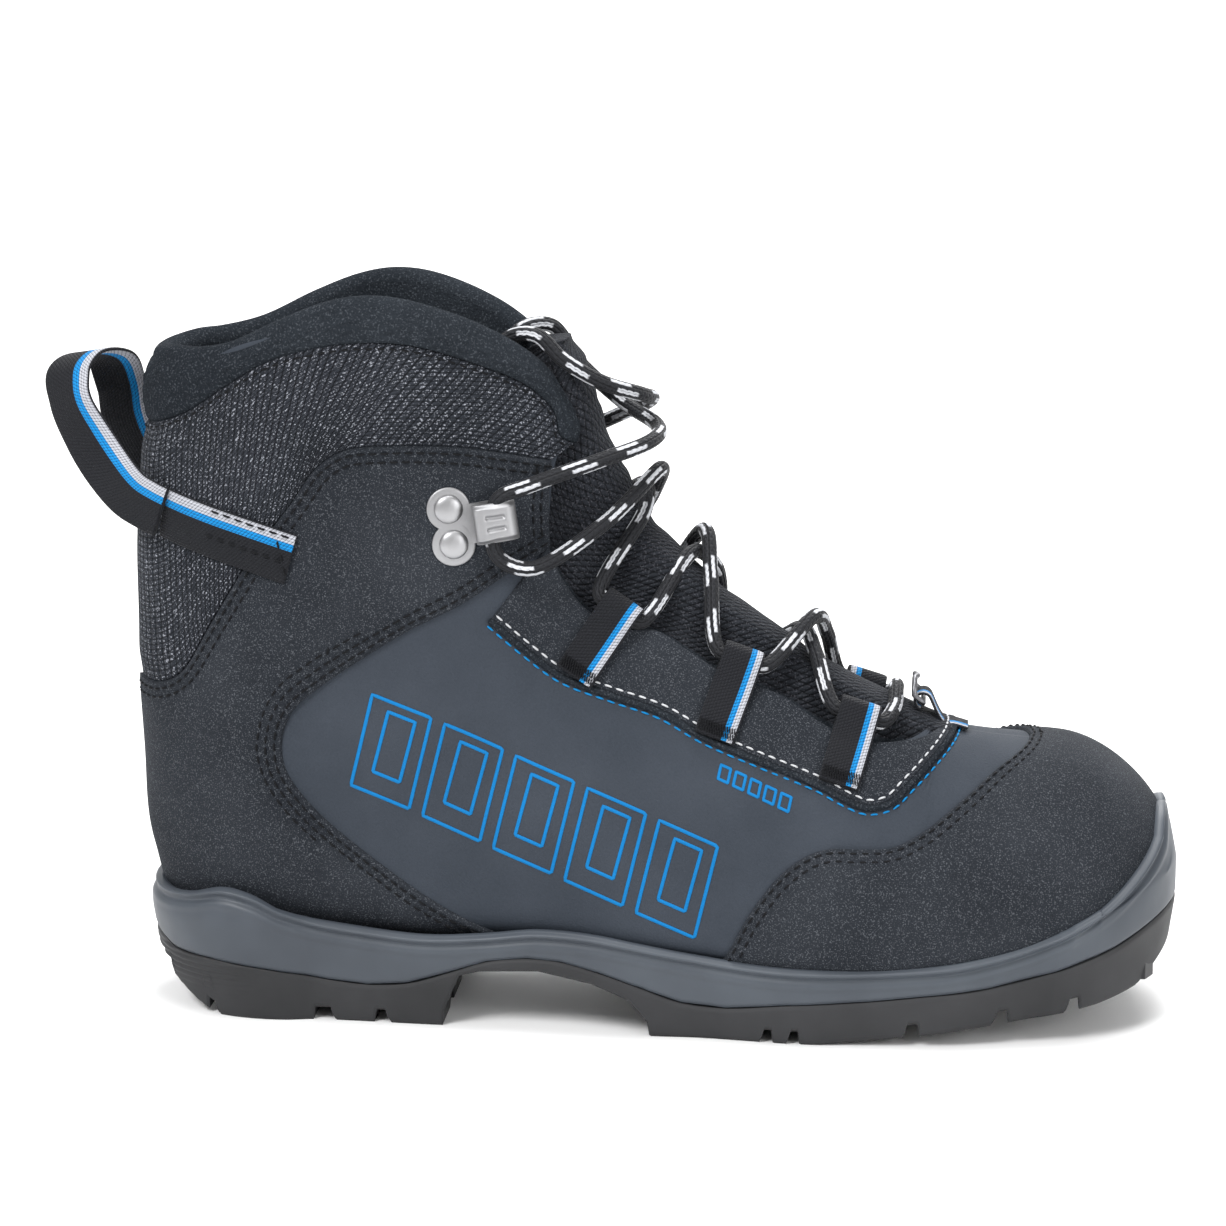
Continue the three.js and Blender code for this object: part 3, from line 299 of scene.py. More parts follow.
# ---------- meshes ----------
class Build:
    """Collects vertices, faces and their UVs, and makes one closed, outward-facing object."""

    def __init__(self):
        self.points, self.faces, self.uvs, self.count = [], [], [], 0

    def add(self, points, faces, uvs):
        self.points.append(points)
        self.faces.append(faces + self.count)
        self.uvs.append(uvs)
        self.count += len(points)

    def grid(self, p, uv, wrap=False, flip=False):
        """A grid of points (n, m, 3) as quads. wrap joins the last column to the first, and uv then
        has one more column than p."""
        n, m = p.shape[:2]
        i, j = np.meshgrid(np.arange(n - 1), np.arange(m if wrap else m - 1), indexing="ij")
        i, j = i.ravel(), j.ravel()
        corners = [(i, j), (i + 1, j), (i + 1, j + 1), (i, j + 1)]
        if flip:
            corners = corners[::-1]
        faces = np.stack([a * m + b % m for a, b in corners], axis=1)
        self.add(p.reshape(-1, 3), faces, np.stack([uv[a, b] for a, b in corners], axis=1))

    def fan(self, ring, flip=False):
        """Closes a ring of points with triangles to its middle."""
        n = len(ring)
        points = np.concatenate([ring, ring.mean(axis=0, keepdims=True)])
        i = np.arange(n)
        faces = np.stack([i, (i + 1) % n, np.full(n, n)], axis=1)
        if flip:
            faces = faces[:, ::-1]
        uv = points[:, :2] / 1000
        self.add(points, faces, uv[faces])

    def rod(self, rings, uv):
        """A grid whose rows are closed rings, with both ends closed."""
        self.grid(rings, uv, wrap=True)
        self.fan(rings[0])
        self.fan(rings[-1], flip=True)

    def make(self, name, material, smooth=True, weld=1e-6, body="boot", replaces=()):
        """Welds, turns the faces outwards if the signed volume is negative, and rides on a body."""
        mesh = bpy.data.meshes.new(name)
        points = to_frame(np.concatenate(self.points))
        sizes = np.concatenate([np.full(len(f), f.shape[1]) for f in self.faces])
        corners = np.concatenate([f.ravel() for f in self.faces]).astype(np.int32)
        starts = np.concatenate([[0], np.cumsum(sizes)[:-1]]).astype(np.int32)
        uvs = np.concatenate([u.reshape(-1, 2) for u in self.uvs])
        mesh.vertices.add(len(points))
        mesh.vertices.foreach_set("co", points.ravel())
        mesh.loops.add(len(corners))
        mesh.loops.foreach_set("vertex_index", corners)
        mesh.polygons.add(len(sizes))
        mesh.polygons.foreach_set("loop_start", starts)
        mesh.update(calc_edges=True)
        layer = mesh.uv_layers.new(name="UVMap")
        layer.uv.foreach_set("vector", uvs.astype(np.float32).ravel())
        mesh.validate(clean_customdata=False)
        if weld:
            weld_mesh(mesh, weld)
        if signed_volume(mesh) < 0:
            mesh.flip_normals()
        mesh.polygons.foreach_set("use_smooth", np.full(len(mesh.polygons), smooth))
        mesh.materials.append(material)
        return place(bpy.data.objects.new(name, mesh), body, replaces)


def weld_mesh(mesh, distance):
    bm = bmesh.new()
    bm.from_mesh(mesh)
    bmesh.ops.remove_doubles(bm, verts=bm.verts, dist=distance)
    bmesh.ops.dissolve_degenerate(bm, edges=bm.edges, dist=distance / 2)
    bm.to_mesh(mesh)
    bm.free()


def signed_volume(mesh):
    mesh.calc_loop_triangles()
    tri = np.empty(len(mesh.loop_triangles) * 3, dtype=np.int32)
    mesh.loop_triangles.foreach_get("vertices", tri)
    co = np.empty(len(mesh.vertices) * 3)
    mesh.vertices.foreach_get("co", co)
    p = co.reshape(-1, 3)[tri.reshape(-1, 3)]
    return np.einsum("ij,ij->i", p[:, 0], np.cross(p[:, 1], p[:, 2])).sum()


def place(obj, body, replaces):
    bpy.context.scene.collection.objects.link(obj)
    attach(obj, body)
    if replaces:
        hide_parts(*replaces)
    return obj


def closed_sheet(build, outer, inner, uv):
    """Outer and inner grids of the same shape, joined by a rim all round."""
    build.grid(outer, uv)
    build.grid(inner, uv, flip=True)
    for a, b, w in ((outer[0], inner[0], uv[0]), (outer[-1], inner[-1], uv[-1])):
        build.grid(np.stack([a, b]), np.stack([w, w]), flip=a is outer[-1])
    for a, b, w in ((outer[:, 0], inner[:, 0], uv[:, 0]), (outer[:, -1], inner[:, -1], uv[:, -1])):
        build.grid(np.stack([a, b]), np.stack([w, w]), flip=a is outer[:, 0])


def spread(count, tight=0.75):
    """Numbers 0 to 1, packed closer at both ends: a blend of even and cosine spacing."""
    x = np.linspace(0, 1, count)
    return (1 - tight) * x + tight * (0.5 - 0.5 * np.cos(np.pi * x))


def grid_normals(p, wrap=False):
    """Unit normals of a grid of points, from the cross product of its two differences."""
    if wrap:
        across = np.roll(p, -1, axis=1) - np.roll(p, 1, axis=1)
    else:
        across = np.gradient(p, axis=1)
    return unit(np.cross(np.gradient(p, axis=0), across))


def ruled(low, high, count):
    """Grid of (u, turn) between two lines of as many points each."""
    t = spread(count)[None, :, None]
    return low[:, None] * (1 - t) + high[:, None] * t


def panel(name, material, ut, top, low=-0.4, edge=1.0, replaces=(), puff=0.0, free=(1, 1, 1, 1)):
    """A layer of fabric on the boot over a grid of (u, turn). Its height above the skin is
    low + (top - low) * sqrt(1 - (1 - d / edge)^2), d the distance to the nearest free edge, plus a
    puff that grows toward the middle. Its UV is length along and across, in metres."""
    base = surface(*parts(ut))
    along, across = lengths(base, 0), lengths(base, 1)
    far = 1e3
    d = np.minimum.reduce([
        np.where(free[0], along, far), np.where(free[1], along[-1:] - along, far),
        np.where(free[2], across, far), np.where(free[3], across[:, -1:] - across, far)])
    rise = np.sqrt(np.clip(1 - (1 - np.clip(d / edge, 0, 1)) ** 2, 0, 1))
    height = low + (top - low) * rise + puff * ease(d / 9)
    middle = along[:, along.shape[1] // 2][:, None]
    uv = np.stack(np.broadcast_arrays(middle, across), axis=-1) / 1000
    build = Build()
    closed_sheet(build, skin(*parts(ut), height), skin(*parts(ut), low - 0.35 + 0 * height), uv)
    return build.make(name, material, replaces=replaces)


def inset(ut, distance):
    """A line on the boot moved sideways by a distance, left of its run, by its two surface slopes."""
    e = 1e-3
    u, t = parts(ut)
    su = (surface(u + e, t) - surface(u - e, t)) / (2 * e)
    st = (surface(u, t + e) - surface(u, t - e)) / (2 * e)
    side = np.cross(outward(u, t), unit(np.gradient(surface(u, t), axis=0))) * distance
    a, b, c = (su * su).sum(1), (su * st).sum(1), (st * st).sum(1)
    p, q = (side * su).sum(1), (side * st).sum(1)
    det = a * c - b * b
    return ut + np.stack([(p * c - q * b) / det, (q * a - p * b) / det], axis=1)


def tube(name, material, path, radius, sides=20, step=0.8, replaces=(), shape=None, body="boot"):
    """A round tube along a path: ring = path + r (cos a * side + sin a * up), r from
    shape(length, a)."""
    total = lengths(path)[-1]
    path = even(path, max(int(total / step), 8))
    t = unit(np.gradient(path, axis=0))
    side = carried_frame(t)
    up = np.cross(t, side)
    a = round_angles(sides)
    s = np.linspace(0, total, len(path))[:, None]
    r = radius * (shape(s, a[None]) if shape else np.ones((len(s), sides)))
    ring = np.cos(a)[:, None] * side[:, None] + np.sin(a)[:, None] * up[:, None]
    build = Build()
    build.rod(path[:, None] + ring * r[..., None],
              np.stack(np.broadcast_arrays(s / 1000, np.linspace(0, 1, sides + 1)), -1))
    return build.make(name, material, replaces=replaces, body=body)


def carried_frame(t):
    """Side vectors carried along a path's tangents without twist."""
    side = np.empty_like(t)
    first = np.cross(t[0], [0.3, 0.2, 1.0])
    side[0] = first / np.linalg.norm(first)
    for i in range(1, len(t)):
        v = side[i - 1] - t[i] * (side[i - 1] @ t[i])
        side[i] = v / np.linalg.norm(v)
    return side


def ribbon(name, material, path, normal, width, thick, replaces, body="boot"):
    """A flat strap: at each point a flattened loop |y/w|^6 + |z/t|^3 = 1, y across and z along the
    normal. UV is length along, then distance across from one selvedge, in metres."""
    step = 0.5
    total = lengths(path)[-1]
    count = max(int(total / step), 12)
    both = even(np.concatenate([path, normal], axis=1), count)
    path, normal = both[:, :3], both[:, 3:]
    t = unit(np.gradient(path, axis=0))
    across = unit(np.cross(t, unit(normal)))
    normal = np.cross(across, t)
    a = round_angles(36)
    y = np.sign(np.cos(a)) * np.abs(np.cos(a)) ** (1 / 3) * width / 2
    z = np.sign(np.sin(a)) * np.abs(np.sin(a)) ** (2 / 3) * thick / 2
    s = np.linspace(0, total, count)[:, None]
    uv = np.stack(np.broadcast_arrays(s, np.append(y, y[0]) + width / 2), -1) / 1000
    build = Build()
    build.rod(path[:, None] + across[:, None] * y[:, None] + normal[:, None] * z[:, None], uv)
    return build.make(name, material, replaces=replaces, body=body)


def stitch_rows(name, material, rows, length=2.7, gap=0.7, radius=0.32):
    """Rows of thread on the skin. Each stitch is a bean: a six-sided tube that dips into the cloth
    at both ends, height h * cos(pi x / L), repeated at even steps along every row."""
    build = Build()
    x = np.linspace(-0.5, 0.5, 6)
    a = round_angles(6)
    swell = np.sqrt(np.clip(1 - (2 * x) ** 4, 0.02, 1))
    for ut, height in rows:
        s = lengths(surface(*parts(ut)))
        count = max(int(s[-1] / (length + gap)), 2)
        at = (np.arange(count) + 0.5) * s[-1] / count
        line = sample(at, s, ut)
        n = outward(*parts(line))
        t = unit(surface(*parts(sample(at + 0.4, s, ut))) - surface(*parts(sample(at - 0.4, s, ut))))
        side = np.cross(n, t)
        lift = radius * (1.5 * np.cos(np.pi * x) - 0.7)
        centre = (skin(*parts(line), height)[:, None] + t[:, None] * (x * length)[:, None]
                  + n[:, None] * lift[:, None])
        ring = np.cos(a)[:, None] * side[:, None, None] + np.sin(a)[:, None] * n[:, None, None]
        beads(build, centre[:, :, None] + ring * (radius * swell)[:, None, None])
    return build.make(name, material, weld=0)


def beads(build, q):
    """Adds many small closed tubes at once: q is (pieces, rings, sides, 3)."""
    k, rings, sides = q.shape[:3]
    i, j = np.meshgrid(np.arange(rings - 1), np.arange(sides), indexing="ij")
    i, j = i.ravel(), j.ravel()
    after = (j + 1) % sides
    one = np.stack([i * sides + j, (i + 1) * sides + j, (i + 1) * sides + after, i * sides + after], 1)
    first = (np.arange(k) * rings * sides)[:, None, None]
    faces = (one[None, :, ::-1] + first).reshape(-1, 4)
    build.add(q.reshape(-1, 3), faces, np.zeros((len(faces), 4, 2)))
    ends = np.stack([np.arange(sides), (rings - 1) * sides + np.arange(sides)[::-1]])
    caps = (ends[None] + first).reshape(-1, sides)
    build.faces.append(caps + build.count - k * rings * sides)
    build.uvs.append(np.zeros((len(caps), sides, 2)))


# ---------- materials ----------
class Nodes:
    """Adds shader nodes to a tree; an input given as a socket is linked, a value is set."""

    def __init__(self, tree):
        self.tree = tree

    def feed(self, node, inputs):
        for key, value in inputs.items():
            if isinstance(value, bpy.types.NodeSocket):
                self.tree.links.new(value, node.inputs[key])
            else:
                node.inputs[key].default_value = value

    def add(self, kind, inputs=None, **settings):
        node = self.tree.nodes.new(kind)
        for key, value in settings.items():
            setattr(node, key, value)
        self.feed(node, inputs or {})
        return node

    def math(self, operation, a, b=0.0, clamp=False):
        return self.add("ShaderNodeMath", {0: a, 1: b}, operation=operation, use_clamp=clamp).outputs[0]

    def scaled(self, value, by, plus=0.0):
        return self.math("ADD", self.math("MULTIPLY", value, by), plus)

    def mix(self, factor, a, b):
        a, b = ((*c, 1) if isinstance(c, tuple) else c for c in (a, b))
        return self.add("ShaderNodeMix", {"Factor": factor, 6: a, 7: b}, data_type="RGBA").outputs[2]

    def step(self, value, low, high):
        """0 below low, 1 above high, a straight ramp between."""
        inputs = {"Value": value, "From Min": low, "From Max": high}
        return self.add("ShaderNodeMapRange", inputs).outputs["Result"]

    def noise(self, vector, scale, **settings):
        inputs = {"Vector": vector, "Scale": scale, **{key.title(): value for key, value in settings.items()}}
        return self.add("ShaderNodeTexNoise", inputs).outputs[0]

    def group(self, maker, inputs):
        """The outputs of a node group, which is made the first time that it is wanted."""
        name = maker.__name__.replace("_", " ")
        node = self.add("ShaderNodeGroup", node_tree=bpy.data.node_groups.get(name) or maker(name))
        self.feed(node, inputs)
        return node.outputs

    def grain(self, place_in, scale):
        return self.group(fabric_grain, {"Vector": place_in, "Scale": scale})

    def woven(self, along, across, slant):
        return self.group(weave, {"Pitch along": along, "Pitch across": across, "Slant": slant})


def new_group(name, inputs, outputs):
    """An empty group of number sockets, besides an input named Vector."""
    tree = bpy.data.node_groups.new(name, "ShaderNodeTree")
    for names, side in ((inputs, "INPUT"), (outputs, "OUTPUT")):
        for socket in names:
            kind = "NodeSocketVector" if socket == "Vector" else "NodeSocketFloat"
            tree.interface.new_socket(socket, in_out=side, socket_type=kind)
    nodes = Nodes(tree)
    return tree, nodes, nodes.add("NodeGroupInput").outputs, nodes.add("NodeGroupOutput")


def fabric_grain(name):
    """Fine fabric grain: noise as height, sparse light flecks, and slow patchy variation."""
    tree, n, i, end = new_group(name, ("Vector", "Scale"), ("Height", "Flecks", "Patches"))
    flecks = n.noise(i["Vector"], n.math("MULTIPLY", i["Scale"], 1.3), detail=1.0)
    n.feed(end, {
        "Height": n.noise(i["Vector"], i["Scale"], detail=4.0, roughness=0.65),
        "Flecks": n.step(flecks, 0.56, 0.7),
        "Patches": n.step(n.noise(i["Vector"], 28.0, detail=3.0), 0.35, 0.68)})
    return tree


def weave(name):
    """Woven threads on the UV: height |sin| of two crossed directions, shifted row by row."""
    tree, n, i, end = new_group(name, ("Pitch along", "Pitch across", "Slant"), ("Height", "Along", "Across"))
    uv = n.add("ShaderNodeSeparateXYZ", {0: n.add("ShaderNodeUVMap", uv_map="UVMap").outputs[0]})
    along, across = uv.outputs[0], uv.outputs[1]
    b = n.math("DIVIDE", across, i["Pitch across"])
    a = n.math("ADD", n.math("DIVIDE", along, i["Pitch along"]), n.math("MULTIPLY", b, i["Slant"]))
    wave, cross = (n.math("ABSOLUTE", n.math("SINE", n.math("MULTIPLY", c, np.pi))) for c in (a, b))
    height = n.math("MULTIPLY", n.math("POWER", wave, 0.6), n.math("POWER", cross, 0.45))
    n.feed(end, {"Height": height, "Along": along, "Across": across})
    return tree


def start_material(name):
    mat = bpy.data.materials.new(name)
    mat.use_nodes = True
    n = Nodes(mat.node_tree)
    return mat, n, mat.node_tree.nodes["Principled BSDF"], n.add("ShaderNodeTexCoord").outputs["Object"]


def finish_material(n, shader, height, strength, bump_mm, inputs):
    bump_node = n.add("ShaderNodeBump", {"Height": height, "Strength": strength, "Distance": bump_mm / 1000})
    n.feed(shader, {"Normal": bump_node.outputs[0], **inputs})


def made_once(maker):
    """Gives the material of that name if there is one, and otherwise makes it."""

    def give(name, *numbers, **named):
        return bpy.data.materials.get(name) or maker(name, *numbers, **named)

    return give


@made_once
def cloth_material(name, dark, light, scale, rough=0.9, woven=None, ribs=None, sheen=0.25, bump_mm=0.25,
                   fleck=None, fleck_share=0.5, shine=0.12):
    """Fabric: grain and patches tint between two colours; a weave or ribs may add height."""
    mat, n, shader, place_in = start_material(name)
    grain = n.grain(place_in, scale)
    patches = n.math("MULTIPLY", grain["Patches"], 0.35)
    tone = n.math("ADD", n.math("MULTIPLY", grain["Height"], 0.7), patches, clamp=True)
    colour = n.mix(tone, dark, light)
    height = grain["Height"]
    for pitch, shade, ramp, share in ((woven, 0.45, (0.1, 0.7), 0.35),
                                      (ribs and (ribs, 0.0016, 0.0), 0.35, (0.05, 0.55), 0.3)):
        if pitch:
            threads = n.woven(*pitch)["Height"]
            # painted shade: where the thread height is low, in the gaps between threads, the colour becomes a
            # darker copy of the dark colour
            colour = n.mix(n.step(threads, *ramp), tuple(c * shade for c in dark), colour)
            height = n.math("ADD", n.math("MULTIPLY", grain["Height"], share), threads)
    if fleck:
        share = n.math("MULTIPLY", grain["Flecks"], fleck_share)
        if ribs:
            share = n.math("MULTIPLY", share, n.step(threads, 0.35, 0.75))
        colour = n.mix(share, colour, fleck)
    finish_material(n, shader, height, 0.9, bump_mm, {
        "Base Color": colour, "Roughness": n.scaled(grain["Patches"], -0.12, rough + 0.06),
        "Sheen Weight": sheen, "Sheen Roughness": 0.45,
        "Sheen Tint": (*[min(1, c * 6 + 0.1) for c in light], 1), "Specular IOR Level": shine})
    return mat


@made_once
def rubber_material(name, dark, light, rough, bump_mm=0.08, coat=0.0):
    """Moulded rubber: patchy sheen, fine pitting and faint scuffs."""
    mat, n, shader, place_in = start_material(name)
    grain = n.grain(place_in, 1500.0)
    smear = n.noise(place_in, 60.0, detail=5.0)
    finish_material(n, shader, n.scaled(grain["Height"], 0.4, smear), 0.6, bump_mm, {
        "Base Color": n.mix(grain["Patches"], dark, light), "Roughness": n.scaled(smear, 0.3, rough - 0.15),
        "Specular IOR Level": 0.35, "Coat Weight": coat, "Coat Roughness": 0.25})
    return mat


@made_once
def metal_material(name, colour, rough):
    mat, n, shader, place_in = start_material(name)
    grain = n.grain(place_in, 900.0)
    finish_material(n, shader, grain["Height"], 0.25, 0.05, {
        "Base Color": n.mix(grain["Patches"], tuple(c * 0.8 for c in colour), colour),
        "Roughness": n.scaled(grain["Height"], 0.2, rough - 0.1), "Metallic": 1.0})
    return mat


BLUE = (0.004, 0.2, 0.5)
PALE = (0.4, 0.41, 0.45)


@made_once
def webbing_material(name, blue_from, grey_from, end):
    """Black webbing with one blue and one pale stripe across its width; edges in metres."""
    mat, n, shader, place_in = start_material(name)
    grain = n.grain(place_in, 2600.0)
    woven = n.woven(0.0011, 0.00085, 0.5)
    soft = 0.00012
    colour = n.mix(grain["Height"], (0.004, 0.0045, 0.006), (0.014, 0.015, 0.019))
    for start, stripe in ((blue_from, BLUE), (grey_from, PALE), (end, (0.012, 0.013, 0.016))):
        colour = n.mix(n.step(woven["Across"], start, start + soft), colour, stripe)
    # painted shade: the low places of the weave, between the threads, turn near-black
    colour = n.mix(n.step(woven["Height"], 0.0, 0.5), (0.004, 0.004, 0.006), colour)
    finish_material(n, shader, woven["Height"], 0.9, 0.3, {
        "Base Color": colour, "Roughness": n.scaled(grain["Height"], 0.2, 0.6),
        "Sheen Weight": 0.03, "Specular IOR Level": 0.15})
    return mat


def lace_material():
    """Braided black cord; slanted pale dashes in six lanes return every 17 mm, placed on the UV."""
    mat, n, shader, place_in = start_material("lace braid")
    woven = n.woven(0.0022, 0.125, 1.0)
    back = n.woven(0.0022, 0.125, -1.0)
    lanes = n.math("MULTIPLY", woven["Across"], 6.0)
    shift = n.math("MULTIPLY", n.math("FLOOR", lanes), -0.17)
    group = n.math("FRACT", n.math("ADD", n.math("DIVIDE", woven["Along"], 0.017), shift))
    centred = n.math("ABSOLUTE", n.math("SUBTRACT", n.math("FRACT", lanes), 0.5))
    tooth = n.math("MULTIPLY", back["Height"], 0.12)
    dash = n.step(n.math("SUBTRACT", centred, tooth), 0.22, 0.16)
    inside = n.math("MULTIPLY", n.step(group, 0.0, 0.03), n.step(group, 0.46, 0.42))
    flecks = n.math("MULTIPLY", n.math("MULTIPLY", dash, inside), n.step(woven["Height"], 0.02, 0.2))
    base = n.mix(n.grain(place_in, 3000.0)["Height"], (0.004, 0.0045, 0.006), (0.018, 0.019, 0.023))
    height = n.math("MAXIMUM", woven["Height"], back["Height"])
    # painted shade: the low places between the braid's strands turn near-black
    base = n.mix(n.step(height, 0.1, 0.6), (0.003, 0.003, 0.004), base)
    finish_material(n, shader, height, 1.0, 0.4, {
        "Base Color": n.mix(flecks, base, (0.5, 0.51, 0.54)), "Roughness": 0.6,
        "Sheen Weight": 0.03, "Specular IOR Level": 0.2})
    return mat


def softshell():
    return cloth_material("softshell cloth", (0.021, 0.026, 0.034), (0.043, 0.051, 0.065), 1700.0, 0.7,
                          sheen=0.0, bump_mm=0.22, shine=0.14)


def suede():
    return cloth_material("gritty overlay", (0.006, 0.0075, 0.0105), (0.026, 0.03, 0.037), 1900.0, 0.8,
                          sheen=0.03, bump_mm=0.4, fleck=(0.11, 0.118, 0.132), fleck_share=0.6)


def knit():
    return cloth_material("ankle knit", (0.007, 0.0085, 0.0115), (0.032, 0.036, 0.045), 1500.0, 0.85,
                          ribs=0.0026, sheen=0.05, bump_mm=0.7, fleck=(0.34, 0.355, 0.4), fleck_share=0.8)


def tongue_cloth():
    return cloth_material("tongue knit", (0.006, 0.007, 0.0095), (0.024, 0.027, 0.033), 1500.0, 0.85,
                          sheen=0.05, woven=(0.0024, 0.0019, 1.0), bump_mm=0.6, fleck=(0.12, 0.12, 0.14),
                          fleck_share=0.35)


def fleece():
    return cloth_material("fleece pile", (0.006, 0.0075, 0.01), (0.034, 0.04, 0.048), 1300.0, 1.0, sheen=0.0,
                          bump_mm=1.2, fleck=(0.09, 0.1, 0.115), fleck_share=0.5, shine=0.03)


def thread(name, colour):
    return cloth_material(name, tuple(c * 0.7 for c in colour), colour, 3000.0, 0.6, sheen=0.1, bump_mm=0.05)


def black_thread():
    return thread("black thread", (0.006, 0.0065, 0.008))


# ---------- camera, floor and light ----------
AIM = np.array([-17.0, 0.0, 117.0])
CAMERA_AZ = 5.0
CAMERA_EL = 12.0
CAMERA_FAR = 1200.0
LENS_MM = 119
LIGHT_AIM = (0, 0, 0.1)
WORLD_LIGHT = 0.55


def make_camera():
    az, el = np.radians([CAMERA_AZ, CAMERA_EL])
    away = np.array([np.sin(az) * np.cos(el), -np.cos(az) * np.cos(el), np.sin(el)])
    data = bpy.data.cameras.new("camera")
    data.lens = LENS_MM
    data.sensor_width = 36
    camera = bpy.data.objects.new("camera", data)
    bpy.context.scene.collection.objects.link(camera)
    camera.location = to_frame(AIM + away * CAMERA_FAR)
    camera.rotation_euler = (np.pi / 2 - el, 0, az)
    bpy.context.scene.camera = camera


def make_floor():
    """Pale floor that rises behind: z = 1.6 ((y - 0.7) / 1.6)^2 in metres, past y = 0.7."""
    gx, gy = np.meshgrid(np.linspace(-3, 3, 40), np.linspace(-3.2, 3, 60), indexing="ij")
    gz = 1.6 * np.clip((gy - 0.7) / 1.6, 0, None) ** 2
    build = Build()
    build.grid(np.stack([gx, gy, gz], -1) * 1000 - SHIFT, np.stack([gx, gy], -1))
    mat, n, shader, place_in = start_material("pale floor")
    shade = n.mix(n.noise(place_in, 3.0), (0.86, 0.86, 0.86), (0.9, 0.9, 0.9))
    n.feed(shader, {"Base Color": shade, "Roughness": 0.6})
    floor = build.make("floor", mat)
    floor.parent = None


def add_light(name, place_at, size, power):
    data = bpy.data.lights.new(name, "AREA")
    data.shape, data.size, data.energy = "DISK", size, power
    lamp = bpy.data.objects.new(name, data)
    bpy.context.scene.collection.objects.link(lamp)
    lamp.location = place_at
    lamp.rotation_euler = (Vector(place_at) - Vector(LIGHT_AIM)).to_track_quat("Z", "Y").to_euler()


def make_lights():
    add_light("key", (-0.9, -1.3, 1.7), 0.9, 44)
    add_light("fill", (1.5, -1.4, 0.8), 1.2, 20)
    add_light("back", (0.3, 1.5, 1.7), 1.2, 32)
    add_light("top", (0.1, 0.0, 1.9), 0.9, 22)
    world = bpy.data.worlds.new("world")
    world.use_nodes = True
    shade = world.node_tree.nodes["Background"].inputs
    shade[0].default_value = (1, 1, 1, 1)
    shade[1].default_value = WORLD_LIGHT
    bpy.context.scene.world = world
    bpy.context.scene.view_settings.view_transform = "Standard"


# ---------- the lace ----------
HALF_A = [[66.5, -13, 92.5], [63, -20, 90.2], [56.3, -21, 92.7], [49.6, -21, 94.9], [43.5, -9, 108],
          [39.5, 2, 113],
          [29.1, 18.5, 106.4], [22.5, 20, 108.8], [15.9, 19, 111.4], [13, 8, 130], [7, -3, 136.5],
          [-7, -26, 120],
          [-12.8, -26.7, 123.6], [-18.6, -24.8, 127.8], [-7, -8, 149.5], [-7.5, 3, 155.5], [-20, 24, 146],
          [-38, 36, 137]]
HALF_B = [[66.5, 13, 92.5], [63.6, 21, 90], [57, 20.8, 92.3], [50.3, 20.6, 94.6], [46, 9, 110.5],
          [43, -3, 118],
          [28.9, -21.5, 106.6], [22.3, -23, 108.8], [15.7, -22.4, 111.4], [12.5, -9, 131.5], [10, 3, 142],
          [-7, 23, 120.2], [-12.8, 23.8, 123.7], [-18.6, 22.6, 128], [-5.5, 7, 152.5], [-2.5, -4, 161.5],
          [-18, -24, 148], [-38, -35.5, 137]]
TOP_A = [[-47, 35.8, 140.5], [-49, 34.5, 148.5], [-47, 34.6, 157], [-38, 33.5, 162], [-20, 27, 171],
         [-7, 13, 179],
         [-8, -3, 183], [-19, -13, 188], [-30, -17, 195], [-38, -16, 202], [-47, -13, 200], [-53, -11, 189],
         [-56, -10, 170]]
TOP_B = [[-47, -35.8, 140.5], [-49, -34.5, 148.5], [-47, -34.6, 157], [-38, -33.5, 161], [-20, -28, 167],
         [-5, -14, 171], [-4, 2, 173], [-16, 17, 178], [-29, 20, 189], [-37, 18.5, 200], [-46, 14, 199],
         [-52, 11.5, 186], [-55, 10.5, 168]]
LACE_ROUTE = TOP_A[::-1] + HALF_A[::-1] + [[67, 0, 96.5]] + HALF_B + TOP_B


def rounded_route(points, count):
    """Centripetal Catmull-Rom through the points: knots at the square root of each chord."""
    p = np.array(points, dtype=float)
    p = np.concatenate([[2 * p[0] - p[1]], p, [2 * p[-1] - p[-2]]])
    k = np.concatenate([[0], np.cumsum(np.linalg.norm(np.diff(p, axis=0), axis=1) ** 0.5)])
    t = np.linspace(k[1], k[-2], count * 3)
    i = np.clip(np.searchsorted(k, t, side="right") - 1, 1, len(p) - 3)
    t0, t1, t2, t3 = (k[i + n][:, None] for n in (-1, 0, 1, 2))
    p0, p1, p2, p3 = (p[i + n] for n in (-1, 0, 1, 2))
    t = t[:, None]
    a1 = (t1 - t) / (t1 - t0) * p0 + (t - t0) / (t1 - t0) * p1
    a2 = (t2 - t) / (t2 - t1) * p1 + (t - t1) / (t2 - t1) * p2
    a3 = (t3 - t) / (t3 - t2) * p2 + (t - t2) / (t3 - t2) * p3
    b1 = (t2 - t) / (t2 - t0) * a1 + (t - t0) / (t2 - t0) * a2
    b2 = (t3 - t) / (t3 - t1) * a2 + (t - t1) / (t3 - t1) * a3
    return even((t2 - t) / (t2 - t1) * b1 + (t - t1) / (t2 - t1) * b2, count)


BRAID_PITCH = 2.2
BRAID_TURN = 0.785


def braid_shape(s, a):
    """Strand relief of a braid: the higher of two families of helices."""
    left, right = (np.abs(np.sin(np.pi * (s / BRAID_PITCH + way * a / BRAID_TURN))) for way in (1, -1))
    return 0.955 + 0.06 * np.maximum(left, right) ** 0.7


def make_lace():
    route = rounded_route(LACE_ROUTE, 900)
    lace = tube("lace_cord", lace_material(), route, LACE_D / 2, sides=28, step=0.62,
                replaces=["lace"], shape=braid_shape)
    clear = rubber_material("clear tip", (0.02, 0.02, 0.022), (0.04, 0.04, 0.045), 0.3)
    for n, end in enumerate((route[:12][::-1], route[-12:])):
        ahead = unit(end[-1] - end[-3])
        stem = end[-1] + ahead * np.array([-9, -4, 1.2])[:, None]
        tube(f"lace_tip_{n + 1}", clear, stem, LACE_D / 2 + 0.25, sides=24, step=0.3)
    round(lengths(route)[-1] / 1000, 3)


